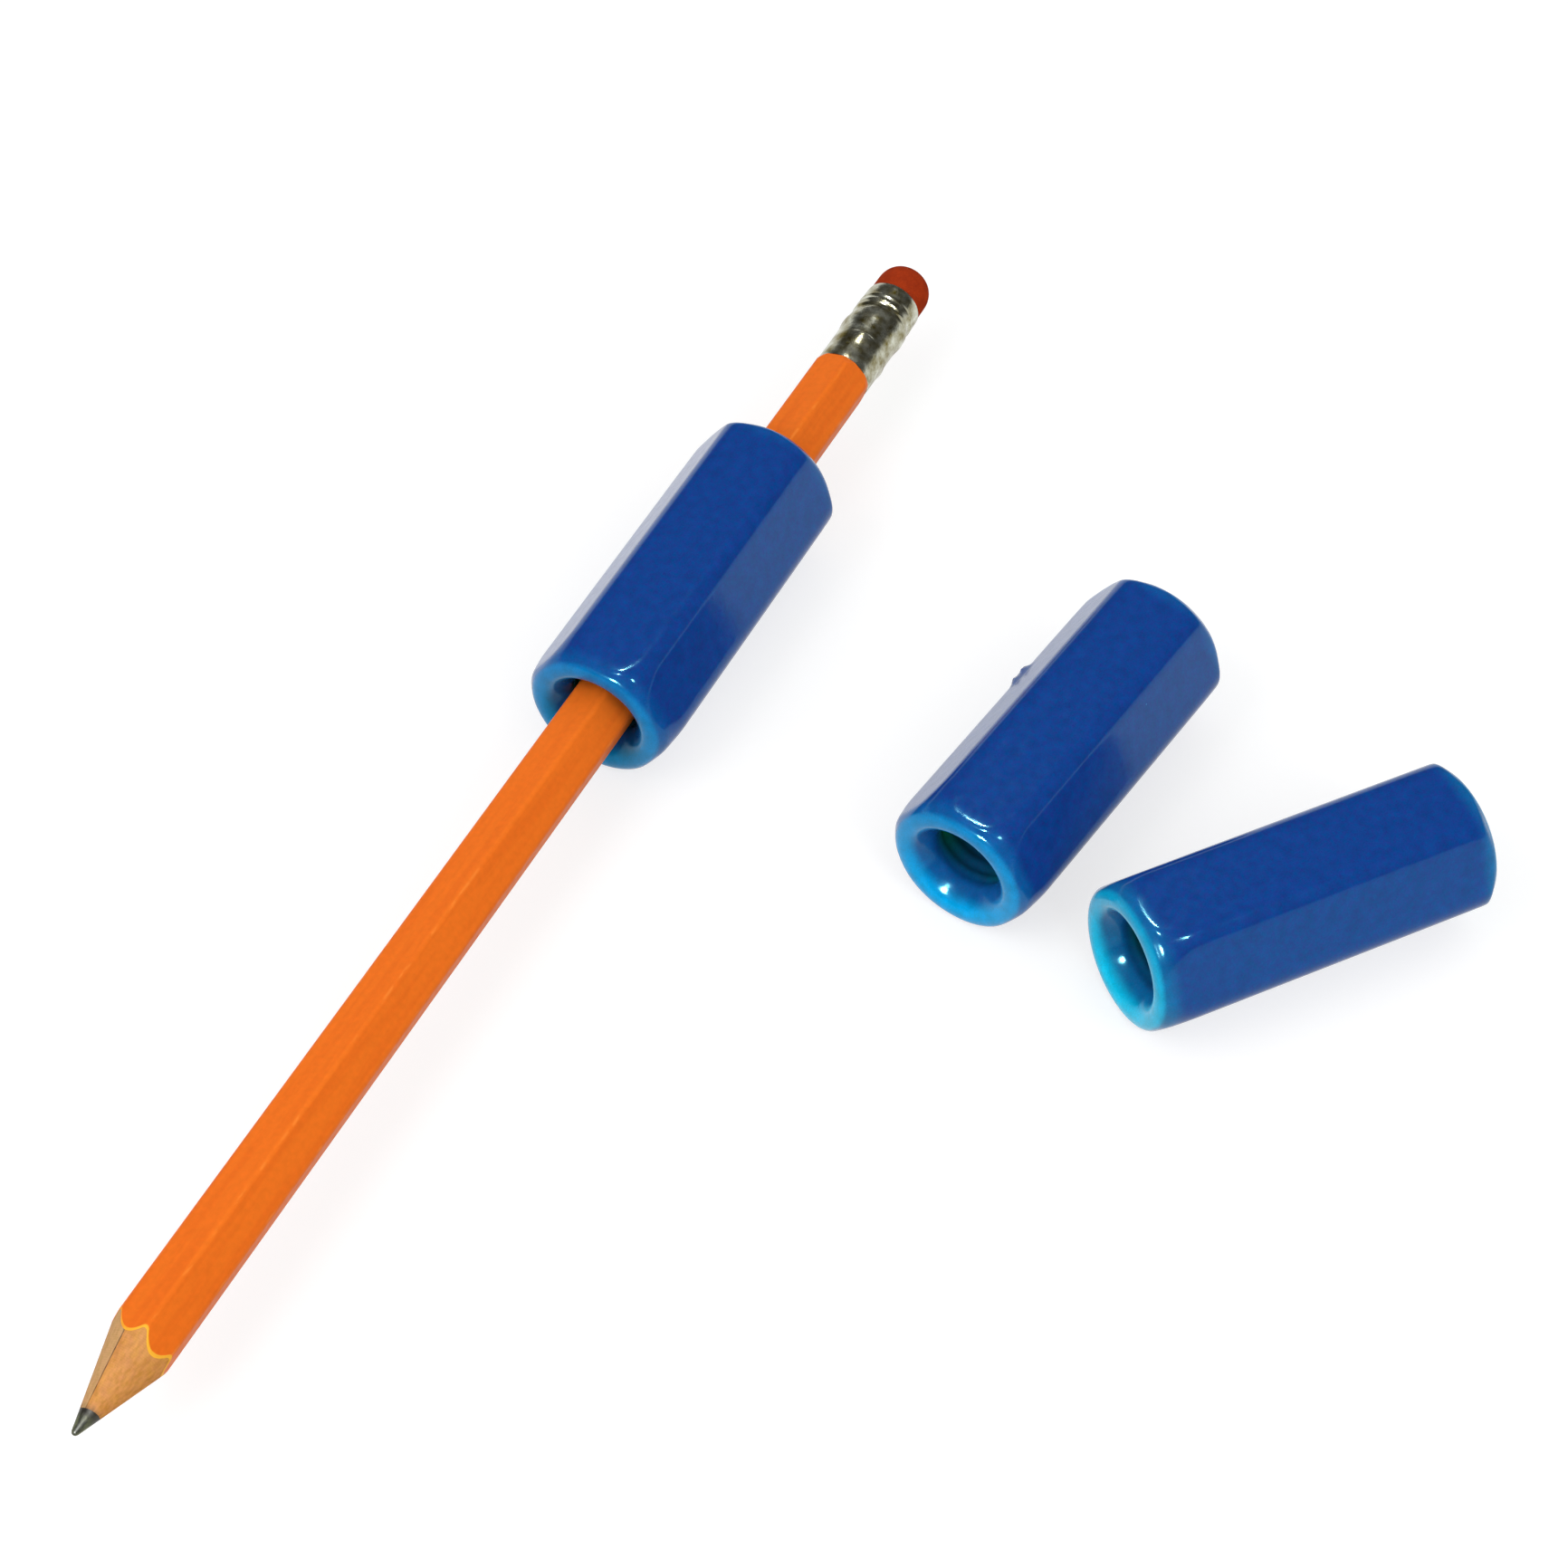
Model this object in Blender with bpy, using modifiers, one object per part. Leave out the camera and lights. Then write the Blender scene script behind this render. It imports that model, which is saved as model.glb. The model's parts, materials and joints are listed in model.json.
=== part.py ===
"""Pencil weight set: a hexagonal pencil carrying one slide-on weight, and two loose weights beside it.

Each weight is a long hexagonal steel nut under a dipped vinyl coat. Metres, +Z up, table at z = 0.
The origin is the middle of the flat that the mounted weight rests on, and +X runs along the pencil
from its point to its eraser.
"""

import math

import bmesh
import bpy
from mathutils import Matrix, Vector

# Pencil
PENCIL_LENGTH = 0.1934
PENCIL_ACROSS_FLATS = 0.00745
PENCIL_RIDGE_RADIUS = 0.0008
LACQUER_THICKNESS = 0.00018
CORE_RADIUS = 0.00115
SHARPENED_HALF_ANGLE = math.radians(16.9)
POINT_RADIUS = 0.00035
RIDGE_LEAN = math.radians(12.7)
SEAM_FROM_RIDGE = math.radians(30.0)

# Ferrule and eraser
FERRULE_LENGTH = 0.015
FERRULE_RADIUS = 0.00383
FERRULE_WALL = 0.00025
FERRULE_BEAD_HEIGHT = 0.0002
FERRULE_BEAD_REACH = 0.0012
FERRULE_BEAD_FROM_FRONT = 0.008
FERRULE_CREASE_DEPTH = 0.00016
FERRULE_CREASE_WIDTH = 0.0004
FERRULE_CREASE_RUN = 0.0006
FERRULE_CREASE_FROM_BEAD = 0.0016
FERRULE_RIB_HEIGHT = 0.0001
FERRULE_RIB_PITCH = 0.0009
FERRULE_RIB_COUNT = 3
FERRULE_RIBS_FROM_REAR = 0.0022
TENON_LENGTH = 0.0082
ERASER_EXPOSED = 0.0055
ERASER_SWELL = 0.00005
ERASER_CORNER_RADIUS = 0.0021
PLUG_GAP = 0.0007

# Weight: steel nut and vinyl coat
NUT_LENGTH = 0.0439
NUT_WALL = 0.00257
NUT_COUNTERSINK = 0.0012
NUT_END_CHAMFER = 0.0008
COAT_THICKNESS = 0.0009
COAT_LINING = 0.0009
COAT_EDGE_RADIUS = 0.0026
COAT_LIP_INNER_RADIUS = 0.0010
COAT_LIP_OUTER_RADIUS = 0.0012
COAT_MOUTH_FLARE = 0.0021
COAT_MOUTH_DEPTH = 0.0028
COAT_SHOULDER_SLOPE = 1.3
COAT_SHOULDER_INSET = 0.00094
COAT_SHOULDER_LENGTH = 0.0046
BARE_THREAD_LENGTH = 0.006

# Layout on the table, from the middle of the mounted weight
WEIGHT_SHARE_OF_PENCIL = 0.673
LOOSE_A_ALONG = 0.0011
LOOSE_A_ASIDE = -0.0503
LOOSE_A_YAW = math.radians(-7.8)
LOOSE_B_ALONG = -0.0048
LOOSE_B_ASIDE = -0.0829
LOOSE_B_YAW = math.radians(-36.5)

# Clearances
SLIDE_CLEARANCE = 0.0003
BOND_GAP = 0.0001
GLUE_GAP = 0.00006
FERRULE_FIT = 0.0001

# Facets
TURN_STEPS = 32
RIDGE_SEGMENTS = 3
ARC_STEP = math.radians(26.0)
FILLET_SHARE = 0.95
SHOULDER_ROWS = 5
SHOULDER_ROW_SPREAD = 1.4
SHOULDER_SHARPNESS = 20.0
BEAD_START = math.radians(45.0)
BEAD_STEPS = 4

# Derived sizes
HEX_SIDES = 6
HALF_SECTOR = math.pi / HEX_SIDES
WOOD_INSET = LACQUER_THICKNESS + GLUE_GAP
RIDGE_REACH = (PENCIL_ACROSS_FLATS / 2 - PENCIL_RIDGE_RADIUS) / math.cos(HALF_SECTOR) + PENCIL_RIDGE_RADIUS
COAT_BORE_RADIUS = RIDGE_REACH + SLIDE_CLEARANCE
NUT_BORE_RADIUS = COAT_BORE_RADIUS + COAT_LINING
NUT_ACROSS_FLATS = 2 * (NUT_BORE_RADIUS + NUT_WALL)
WEIGHT_LENGTH = NUT_LENGTH + 2 * COAT_THICKNESS
WEIGHT_ACROSS_FLATS = NUT_ACROSS_FLATS + 2 * COAT_THICKNESS
AXIS_HEIGHT = WEIGHT_ACROSS_FLATS / 2
COAT_END_RADIUS = WEIGHT_ACROSS_FLATS / 2 - COAT_SHOULDER_INSET
WEIGHT_FROM_POINT = PENCIL_LENGTH * WEIGHT_SHARE_OF_PENCIL
FERRULE_START = PENCIL_LENGTH - ERASER_EXPOSED - FERRULE_LENGTH
FERRULE_BORE_RADIUS = FERRULE_RADIUS - FERRULE_CREASE_DEPTH - FERRULE_WALL
TENON_RADIUS = FERRULE_BORE_RADIUS - FERRULE_FIT
TENON_END = FERRULE_START + TENON_LENGTH
ERASER_PLUG_LENGTH = FERRULE_LENGTH - TENON_LENGTH - PLUG_GAP
BARREL_END = FERRULE_START - FERRULE_FIT
ENVELOPE_RADIUS = 2 * max(WEIGHT_ACROSS_FLATS, PENCIL_ACROSS_FLATS)
ALONG_X = Matrix.Rotation(math.pi / 2, 4, "Y")


def clear_scene():
    """Remove every object that the file opened with."""
    for obj in list(bpy.data.objects):
        bpy.data.objects.remove(obj, do_unlink=True)


def new_collection(name):
    """Return a new collection linked to the scene."""
    collection = bpy.data.collections.new(name)
    bpy.context.scene.collection.children.link(collection)
    return collection


def add_material(name, color, roughness, metallic=0.0):
    """Return a Principled material with the given linear colour."""
    material = bpy.data.materials.new(name)
    material.use_nodes = True
    shader = material.node_tree.nodes["Principled BSDF"]
    shader.inputs["Base Color"].default_value = (*color, 1.0)
    shader.inputs["Roughness"].default_value = roughness
    shader.inputs["Metallic"].default_value = metallic
    return material


def add_object(name, mesh, collection, frame):
    """Return a new object of this mesh, parented to the frame without an offset."""
    obj = bpy.data.objects.new(name, mesh)
    obj.parent = frame
    collection.objects.link(obj)
    return obj


def add_frame(name, collection, matrix):
    """Return an empty that carries the pieces of one rigid body."""
    frame = bpy.data.objects.new(name, None)
    frame.matrix_world = matrix
    collection.objects.link(frame)
    return frame


def make_cutter(obj):
    """Keep a cutter out of the renders and draw it as wire."""
    obj.hide_render = True
    obj.display_type = "WIRE"
    return obj


def shade(obj, material, angle=math.radians(30.0)):
    """Give the piece its material and smooth shading with sharp edges over the angle."""
    obj.data.materials.clear()
    obj.data.materials.append(material)
    obj.data.shade_smooth()
    obj.data.set_sharp_from_angle(angle=angle)


def rounded_corner(before, corner, after, radius):
    """Return the arc points that replace a profile's corner with a fillet."""
    point = Vector(corner)
    to_before = (Vector(before) - point).normalized()
    to_after = (Vector(after) - point).normalized()
    half = to_before.angle(to_after) / 2
    setback = radius / math.tan(half)
    limit = min((Vector(before) - point).length, (Vector(after) - point).length) * FILLET_SHARE
    if setback > limit:
        setback = limit
        radius = setback * math.tan(half)
    centre = point + (to_before + to_after).normalized() * radius / math.sin(half)
    start = point + to_before * setback - centre
    sweep = math.pi - 2 * half
    turn = 1.0 if start.cross(point + to_after * setback - centre) > 0 else -1.0
    steps = max(1, math.ceil(sweep / ARC_STEP))
    arc = []
    for k in range(steps + 1):
        angle = turn * sweep * k / steps
        cos, sin = math.cos(angle), math.sin(angle)
        arc.append((centre.x + start.x * cos - start.y * sin, centre.y + start.x * sin + start.y * cos))
    return arc


def profile_mesh(name, points, closed):
    """Return a mesh of edges through (radius, height) points in the XZ plane."""
    bm = bmesh.new()
    verts = [bm.verts.new((radius, 0.0, height)) for radius, height in points]
    for first, second in zip(verts, verts[1:]):
        bm.edges.new((first, second))
    if closed:
        bm.edges.new((verts[-1], verts[0]))
    mesh = bpy.data.meshes.new(name)
    bm.to_mesh(mesh)
    bm.free()
    return mesh


def add_turned(name, points, collection, frame, closed=True):
    """Return a turned piece: a profile whose outer side runs from top to bottom, with a Screw."""
    obj = add_object(name, profile_mesh(name, points, closed), collection, frame)
    screw = obj.modifiers.new("turn", "SCREW")
    screw.steps = TURN_STEPS
    screw.render_steps = TURN_STEPS
    screw.use_merge_vertices = True
    screw.merge_threshold = 0.000001
    return obj


def add_boolean(obj, cutter, operation):
    """Cut or keep part of a piece with another closed mesh."""
    boolean = obj.modifiers.new(operation.lower(), "BOOLEAN")
    boolean.operation = operation
    boolean.object = cutter
    boolean.solver = "EXACT"


def hex_prism_mesh(name, across_flats, bottom, top, edge_radius, capped=True):
    """Return a hexagonal prism along Z with rounded long edges and flats facing +X and -X."""
    bm = bmesh.new()
    corner = across_flats / 2 / math.cos(HALF_SECTOR)
    bmesh.ops.create_cone(
        bm, cap_ends=True, segments=HEX_SIDES, radius1=corner, radius2=corner, depth=top - bottom,
    )
    bmesh.ops.rotate(bm, verts=bm.verts, matrix=Matrix.Rotation(flat_turn(bm), 3, "Z"))
    bmesh.ops.translate(bm, verts=bm.verts, vec=(0.0, 0.0, (top + bottom) / 2))
    if edge_radius > 0:
        long_edges = [edge for edge in bm.edges if edge.calc_length() > 0.5 * (top - bottom)]
        bmesh.ops.bevel(
            bm, geom=long_edges, offset=edge_radius * math.tan(HALF_SECTOR), offset_type="OFFSET",
            segments=RIDGE_SEGMENTS, profile=0.5, affect="EDGES",
        )
    if not capped:
        caps = [face for face in bm.faces if abs(face.normal.z) > 0.5]
        bmesh.ops.delete(bm, geom=caps, context="FACES_ONLY")
    mesh = bpy.data.meshes.new(name)
    bm.to_mesh(mesh)
    bm.free()
    return mesh


def flat_turn(bm):
    """Return the turn that brings the middle of one flat onto +X."""
    corner = next(iter(bm.verts)).co
    return HALF_SECTOR - math.atan2(corner.y, corner.x)


def baked(obj, name):
    """Return the evaluated mesh of a piece, for objects that share it."""
    depsgraph = bpy.context.evaluated_depsgraph_get()
    mesh = bpy.data.meshes.new_from_object(obj.evaluated_get(depsgraph))
    mesh.name = name
    return mesh


def hex_radius(angle, across_flats, edge_radius):
    """Return how far a rounded hexagon reaches at this angle from the middle of a flat."""
    lean = (angle + HALF_SECTOR) % (2 * HALF_SECTOR) - HALF_SECTOR
    half = across_flats / 2
    flat_end = math.atan((half - edge_radius) * math.tan(HALF_SECTOR) / half)
    if abs(lean) <= flat_end:
        return half / math.cos(lean)
    centre = (half - edge_radius) / math.cos(HALF_SECTOR)
    offset = HALF_SECTOR - abs(lean)
    return centre * math.cos(offset) + math.sqrt(edge_radius**2 - (centre * math.sin(offset)) ** 2)


def coat_angles():
    """Return the angles of a coat section's points: three spans on each flat and on each edge."""
    half = WEIGHT_ACROSS_FLATS / 2
    flat_end = math.atan((half - COAT_EDGE_RADIUS) * math.tan(HALF_SECTOR) / half)
    edge_span = 2 * (HALF_SECTOR - flat_end)
    spans = RIDGE_SEGMENTS
    offsets = [flat_end * (2 * k / spans - 1) for k in range(spans)]
    offsets += [flat_end + edge_span * k / spans for k in range(spans)]
    return [side * 2 * HALF_SECTOR + offset for side in range(HEX_SIDES) for offset in offsets]


def mouth_profile():
    """Return (radius, height) from the bore out over the lip to the outer shoulder, at the top end."""
    top = WEIGHT_LENGTH / 2
    bore = (COAT_BORE_RADIUS, 0.0)
    throat = (COAT_BORE_RADIUS, top - COAT_MOUTH_DEPTH)
    mouth = (COAT_BORE_RADIUS + COAT_MOUTH_FLARE, top)
    rim = (COAT_END_RADIUS, top)
    shoulder = (COAT_END_RADIUS + COAT_SHOULDER_LENGTH * COAT_SHOULDER_SLOPE, top - COAT_SHOULDER_LENGTH)
    middle = ((mouth[0] + rim[0]) / 2, top)
    points = rounded_corner(bore, throat, mouth, COAT_MOUTH_DEPTH / 2)
    points += rounded_corner(throat, mouth, middle, COAT_LIP_INNER_RADIUS)
    points += rounded_corner(middle, rim, shoulder, COAT_LIP_OUTER_RADIUS)
    return points


def coat_sections(angles):
    """Return the rings of the coat's skin, from the bore's middle round one end to the outer middle."""
    half = WEIGHT_LENGTH / 2
    rings = [[(radius, height)] * len(angles) for radius, height in mouth_profile()]
    lip_radius, lip_height = mouth_profile()[-1]
    outline = [hex_radius(angle, WEIGHT_ACROSS_FLATS, COAT_EDGE_RADIUS) for angle in angles]
    lip_depth = half - lip_height
    for row in range(1, SHOULDER_ROWS):
        depth = lip_depth + (COAT_SHOULDER_LENGTH - lip_depth) * (row / SHOULDER_ROWS) ** SHOULDER_ROW_SPREAD
        cone = lip_radius + (depth - lip_depth) * COAT_SHOULDER_SLOPE
        rings.append([(soft_smaller(reach, cone), half - depth) for reach in outline])
    rings.append([(reach, half - COAT_SHOULDER_LENGTH) for reach in outline])
    return rings


def soft_smaller(first, second):
    """Return about the smaller of two lengths, with a rounded change from one to the other."""
    sharpness = SHOULDER_SHARPNESS
    return (first**-sharpness + second**-sharpness) ** (-1 / sharpness)


def coat_skin_mesh(name):
    """Return the closed outer skin of a coat: a loft from round mouths to a rounded hexagon."""
    angles = coat_angles()
    upper = coat_sections(angles)
    lower = [[(radius, -height) for radius, height in ring] for ring in reversed(upper)]
    bm = bmesh.new()
    rows = []
    for ring in upper + lower:
        corners = zip(angles, ring)
        rows.append([bm.verts.new((r * math.cos(a), r * math.sin(a), z)) for a, (r, z) in corners])
    for here, following in zip(rows, rows[1:] + rows[:1]):
        for k in range(len(angles)):
            after = (k + 1) % len(angles)
            bm.faces.new((here[k], here[after], following[after], following[k]))
    bmesh.ops.recalc_face_normals(bm, faces=bm.faces)
    mesh = bpy.data.meshes.new(name)
    bm.to_mesh(mesh)
    bm.free()
    return mesh


def nut_envelope(grow, band):
    """Return the turned outline of the nut, offset outward by grow, with an inner band if asked."""
    top = NUT_LENGTH / 2 + grow
    bore = NUT_BORE_RADIUS - grow
    slant = grow * (math.sqrt(2) - 1)
    countersunk = NUT_BORE_RADIUS + NUT_COUNTERSINK - slant
    face = NUT_ACROSS_FLATS / 2 - NUT_END_CHAMFER + slant
    past_corners = NUT_ACROSS_FLATS
    drop = past_corners - face
    outer = [(face, top), (past_corners, top - drop), (past_corners, drop - top), (face, -top)]
    inner = [(countersunk, -top), (bore, countersunk - bore - top)]
    if band > 0:
        inside = COAT_BORE_RADIUS / 2
        inner += [(bore, -band / 2), (inside, -band / 2), (inside, band / 2), (bore, band / 2)]
    inner += [(bore, top - countersunk + bore), (countersunk, top)]
    return outer + inner


def add_nut(name, collection, cutters, frame, grow, band):
    """Return a hexagonal nut blank whose ends and bore are turned, offset outward by grow."""
    across = NUT_ACROSS_FLATS + 2 * grow
    mesh = hex_prism_mesh(name, across, -NUT_LENGTH, NUT_LENGTH, 0.0)
    nut = add_object(name, mesh, collection, frame)
    turning = make_cutter(add_turned(name + "_turning", nut_envelope(grow, band), cutters, frame))
    add_boolean(nut, turning, "INTERSECT")
    return nut


def build_weight_meshes(cutters):
    """Return the meshes of the nut and the coat that all three weights share."""
    frame = add_frame("weight_pattern_frame", cutters, Matrix.Identity(4))
    nut = make_cutter(add_nut("weight_pattern_nut", cutters, cutters, frame, 0.0, 0.0))
    cavity = add_nut("weight_pattern_cavity", cutters, cutters, frame, BOND_GAP, BARE_THREAD_LENGTH)
    make_cutter(cavity)
    coat = make_cutter(add_object("weight_pattern_coat", coat_skin_mesh("coat_skin"), cutters, frame))
    add_boolean(coat, cavity, "DIFFERENCE")
    return baked(nut, "weight_nut"), baked(coat, "weight_coat")


def add_weight(name, meshes, materials, collection, place, yaw):
    """Add one weight lying on a flat, with its frame at its middle on the bore's axis."""
    spot = Matrix.Translation((place[0], place[1], AXIS_HEIGHT))
    frame = add_frame(name + "_frame", collection, spot @ Matrix.Rotation(yaw, 4, "Z") @ ALONG_X)
    for piece, mesh in zip(("nut", "coat"), meshes):
        obj = add_object(f"{name}_{piece}", mesh, collection, frame)
        shade(obj, materials[piece])


def cone_height(radius):
    """Return the distance from the point at which the sharpened cone has this radius."""
    return (radius - POINT_RADIUS) / math.tan(SHARPENED_HALF_ANGLE)


def add_graphite_core(collection, frame):
    """Add the graphite rod with its sharpened, slightly blunted point."""
    shoulder = (CORE_RADIUS, cone_height(CORE_RADIUS))
    nose = rounded_corner(shoulder, (POINT_RADIUS, 0.0), (0.0, 0.0), POINT_RADIUS)
    points = [(0.0, TENON_END), (CORE_RADIUS, TENON_END), shoulder, *nose, (0.0, 0.0)]
    return add_turned("graphite_core", points, collection, frame, closed=False)


def wood_envelope():
    """Return the turned outline of the wood: sharpened cone, barrel, tenon and the core's groove."""
    groove = CORE_RADIUS + GLUE_GAP
    cone_end = cone_height(ENVELOPE_RADIUS)
    tenon = [(groove, TENON_END), (TENON_RADIUS, TENON_END), (TENON_RADIUS, BARREL_END)]
    barrel = [(ENVELOPE_RADIUS, BARREL_END), (ENVELOPE_RADIUS, cone_end), (groove, cone_height(groove))]
    return tenon + barrel


def add_half_space(name, side, cutters, frame):
    """Return a box that covers one side of the glue seam."""
    size = 2 * PENCIL_LENGTH
    bm = bmesh.new()
    bmesh.ops.create_cube(bm, size=size)
    bmesh.ops.translate(bm, verts=bm.verts, vec=(0.0, side * (size + GLUE_GAP) / 2, PENCIL_LENGTH / 2))
    seam_turn = Matrix.Rotation(HALF_SECTOR - SEAM_FROM_RIDGE, 3, "Z")
    bmesh.ops.rotate(bm, verts=bm.verts, matrix=seam_turn)
    mesh = bpy.data.meshes.new(name)
    bm.to_mesh(mesh)
    bm.free()
    return make_cutter(add_object(name, mesh, cutters, frame))


def add_cedar_slat(name, side, collection, cutters, frame):
    """Add one of the two glued slats that hold the core."""
    across = PENCIL_ACROSS_FLATS - 2 * WOOD_INSET
    ridge = PENCIL_RIDGE_RADIUS - WOOD_INSET
    mesh = hex_prism_mesh(name, across, -PENCIL_LENGTH, 2 * PENCIL_LENGTH, ridge)
    slat = add_object(name, mesh, collection, frame)
    turning = make_cutter(add_turned(name + "_turning", wood_envelope(), cutters, frame))
    add_boolean(slat, turning, "INTERSECT")
    add_boolean(slat, add_half_space(name + "_half", side, cutters, frame), "INTERSECT")
    return slat


def add_barrel_lacquer(collection, cutters, frame):
    """Add the lacquer skin, sharpened back with the wood into one scallop on each flat."""
    name = "barrel_lacquer"
    mesh = hex_prism_mesh(name, PENCIL_ACROSS_FLATS, -PENCIL_LENGTH, BARREL_END, PENCIL_RIDGE_RADIUS, False)
    lacquer = add_object(name, mesh, collection, frame)
    skin = lacquer.modifiers.new("skin", "SOLIDIFY")
    skin.thickness = LACQUER_THICKNESS
    skin.offset = -1.0
    skin.use_even_offset = True
    top, front = 2 * PENCIL_LENGTH, cone_height(CORE_RADIUS)
    cone = [
        (0.0, top), (ENVELOPE_RADIUS, top), (ENVELOPE_RADIUS, cone_height(ENVELOPE_RADIUS)),
        (CORE_RADIUS, front), (0.0, front),
    ]
    keep = make_cutter(add_turned(name + "_turning", cone, cutters, frame, closed=False))
    add_boolean(lacquer, keep, "INTERSECT")
    return lacquer


def ferrule_outline():
    """Return the ferrule's outer profile from its rear rim down to the barrel."""
    rear = FERRULE_START + FERRULE_LENGTH
    points = [(FERRULE_RADIUS, rear)]
    for rib in range(FERRULE_RIB_COUNT):
        crest = rear - FERRULE_RIBS_FROM_REAR - rib * FERRULE_RIB_PITCH
        points.append((FERRULE_RADIUS, crest + FERRULE_RIB_PITCH / 2))
        points.append((FERRULE_RADIUS + FERRULE_RIB_HEIGHT, crest))
    points.append((FERRULE_RADIUS, crest - FERRULE_RIB_PITCH / 2))
    bead = FERRULE_START + FERRULE_BEAD_FROM_FRONT
    crease = bead + FERRULE_CREASE_FROM_BEAD
    groove = FERRULE_RADIUS - FERRULE_CREASE_DEPTH
    points.append((FERRULE_RADIUS, crease + FERRULE_CREASE_WIDTH / 2 + FERRULE_CREASE_RUN))
    points.append((groove, crease + FERRULE_CREASE_WIDTH / 2))
    points.append((groove, crease - FERRULE_CREASE_WIDTH / 2))
    for step in range(BEAD_STEPS + 1):
        angle = BEAD_START + (math.pi - BEAD_START) * step / BEAD_STEPS
        swell = FERRULE_BEAD_HEIGHT * math.sin(angle)
        points.append((FERRULE_RADIUS + swell, bead + FERRULE_BEAD_REACH * math.cos(angle)))
    points.append((FERRULE_RADIUS, FERRULE_START))
    return points


def add_ferrule(collection, frame):
    """Add the thin metal sleeve with its bead, crease and ribs."""
    ferrule = add_turned("ferrule", ferrule_outline(), collection, frame, closed=False)
    wall = ferrule.modifiers.new("wall", "SOLIDIFY")
    wall.thickness = FERRULE_WALL
    wall.offset = -1.0
    return ferrule


def add_eraser(collection, frame):
    """Add the eraser plug with its rounded free end swelling just past the ferrule's rim."""
    rear = PENCIL_LENGTH - ERASER_EXPOSED
    swollen = FERRULE_RADIUS - FERRULE_WALL + ERASER_SWELL
    plug = FERRULE_BORE_RADIUS - FERRULE_FIT
    step = rear + FERRULE_FIT
    tip, corner, root = (0.0, PENCIL_LENGTH), (swollen, PENCIL_LENGTH), (swollen, step)
    dome = rounded_corner(tip, corner, root, ERASER_CORNER_RADIUS)
    bottom = rear - ERASER_PLUG_LENGTH
    points = [tip, *dome, root, (plug, step), (plug, bottom), (0.0, bottom)]
    return add_turned("eraser", points, collection, frame, closed=False)


def build_pencil(collection, cutters, materials):
    """Add the pencil, level at the height of the mounted weight's bore."""
    spot = Matrix.Translation((-WEIGHT_FROM_POINT, 0.0, AXIS_HEIGHT))
    roll = Matrix.Rotation(RIDGE_LEAN - HALF_SECTOR, 4, "Z")
    frame = add_frame("pencil_frame", collection, spot @ ALONG_X @ roll)
    shade(add_graphite_core(collection, frame), materials["graphite"])
    shade(add_cedar_slat("cedar_slat_left", 1.0, collection, cutters, frame), materials["cedar"])
    shade(add_cedar_slat("cedar_slat_right", -1.0, collection, cutters, frame), materials["cedar"])
    shade(add_barrel_lacquer(collection, cutters, frame), materials["lacquer"])
    shade(add_ferrule(collection, frame), materials["ferrule"])
    shade(add_eraser(collection, frame), materials["eraser"])


def build_materials():
    """Return the materials by piece."""
    return {
        "graphite": add_material("graphite", (0.05, 0.055, 0.05), 0.45),
        "cedar": add_material("cedar", (0.63, 0.29, 0.08), 0.75),
        "lacquer": add_material("orange_lacquer", (0.87, 0.16, 0.015), 0.35),
        "ferrule": add_material("ferrule_aluminium", (0.72, 0.72, 0.68), 0.25, 1.0),
        "eraser": add_material("brick_eraser", (0.28, 0.043, 0.013), 0.85),
        "nut": add_material("plain_steel", (0.45, 0.45, 0.46), 0.4, 1.0),
        "coat": add_material("blue_vinyl", (0.006, 0.06, 0.27), 0.2),
    }


def main():
    """Build the pencil with its weight and the two loose weights."""
    clear_scene()
    parts = new_collection("pencil_weight_set")
    cutters = new_collection("cutters")
    materials = build_materials()
    build_pencil(parts, cutters, materials)
    meshes = build_weight_meshes(cutters)
    add_weight("mounted_weight", meshes, materials, parts, (0.0, 0.0), 0.0)
    add_weight("loose_weight_a", meshes, materials, parts, (LOOSE_A_ALONG, LOOSE_A_ASIDE), LOOSE_A_YAW)
    add_weight("loose_weight_b", meshes, materials, parts, (LOOSE_B_ALONG, LOOSE_B_ASIDE), LOOSE_B_YAW)


main()
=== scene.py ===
"""Looks of the pencil weight set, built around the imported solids.

A hexagonal pencil carries one slide-on weight, and two more lie beside it. Each weight is a steel
coupling nut under a dipped vinyl coat. Metres, +Z up, the table at z = 0, and +X runs along the
pencil from its point to its eraser.
"""

from __future__ import annotations

import json
import logging
import math
from dataclasses import dataclass
from enum import Enum
from typing import Any, Sequence

import bmesh
import bpy
import numpy as np
from mathutils import Matrix, Vector

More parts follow.
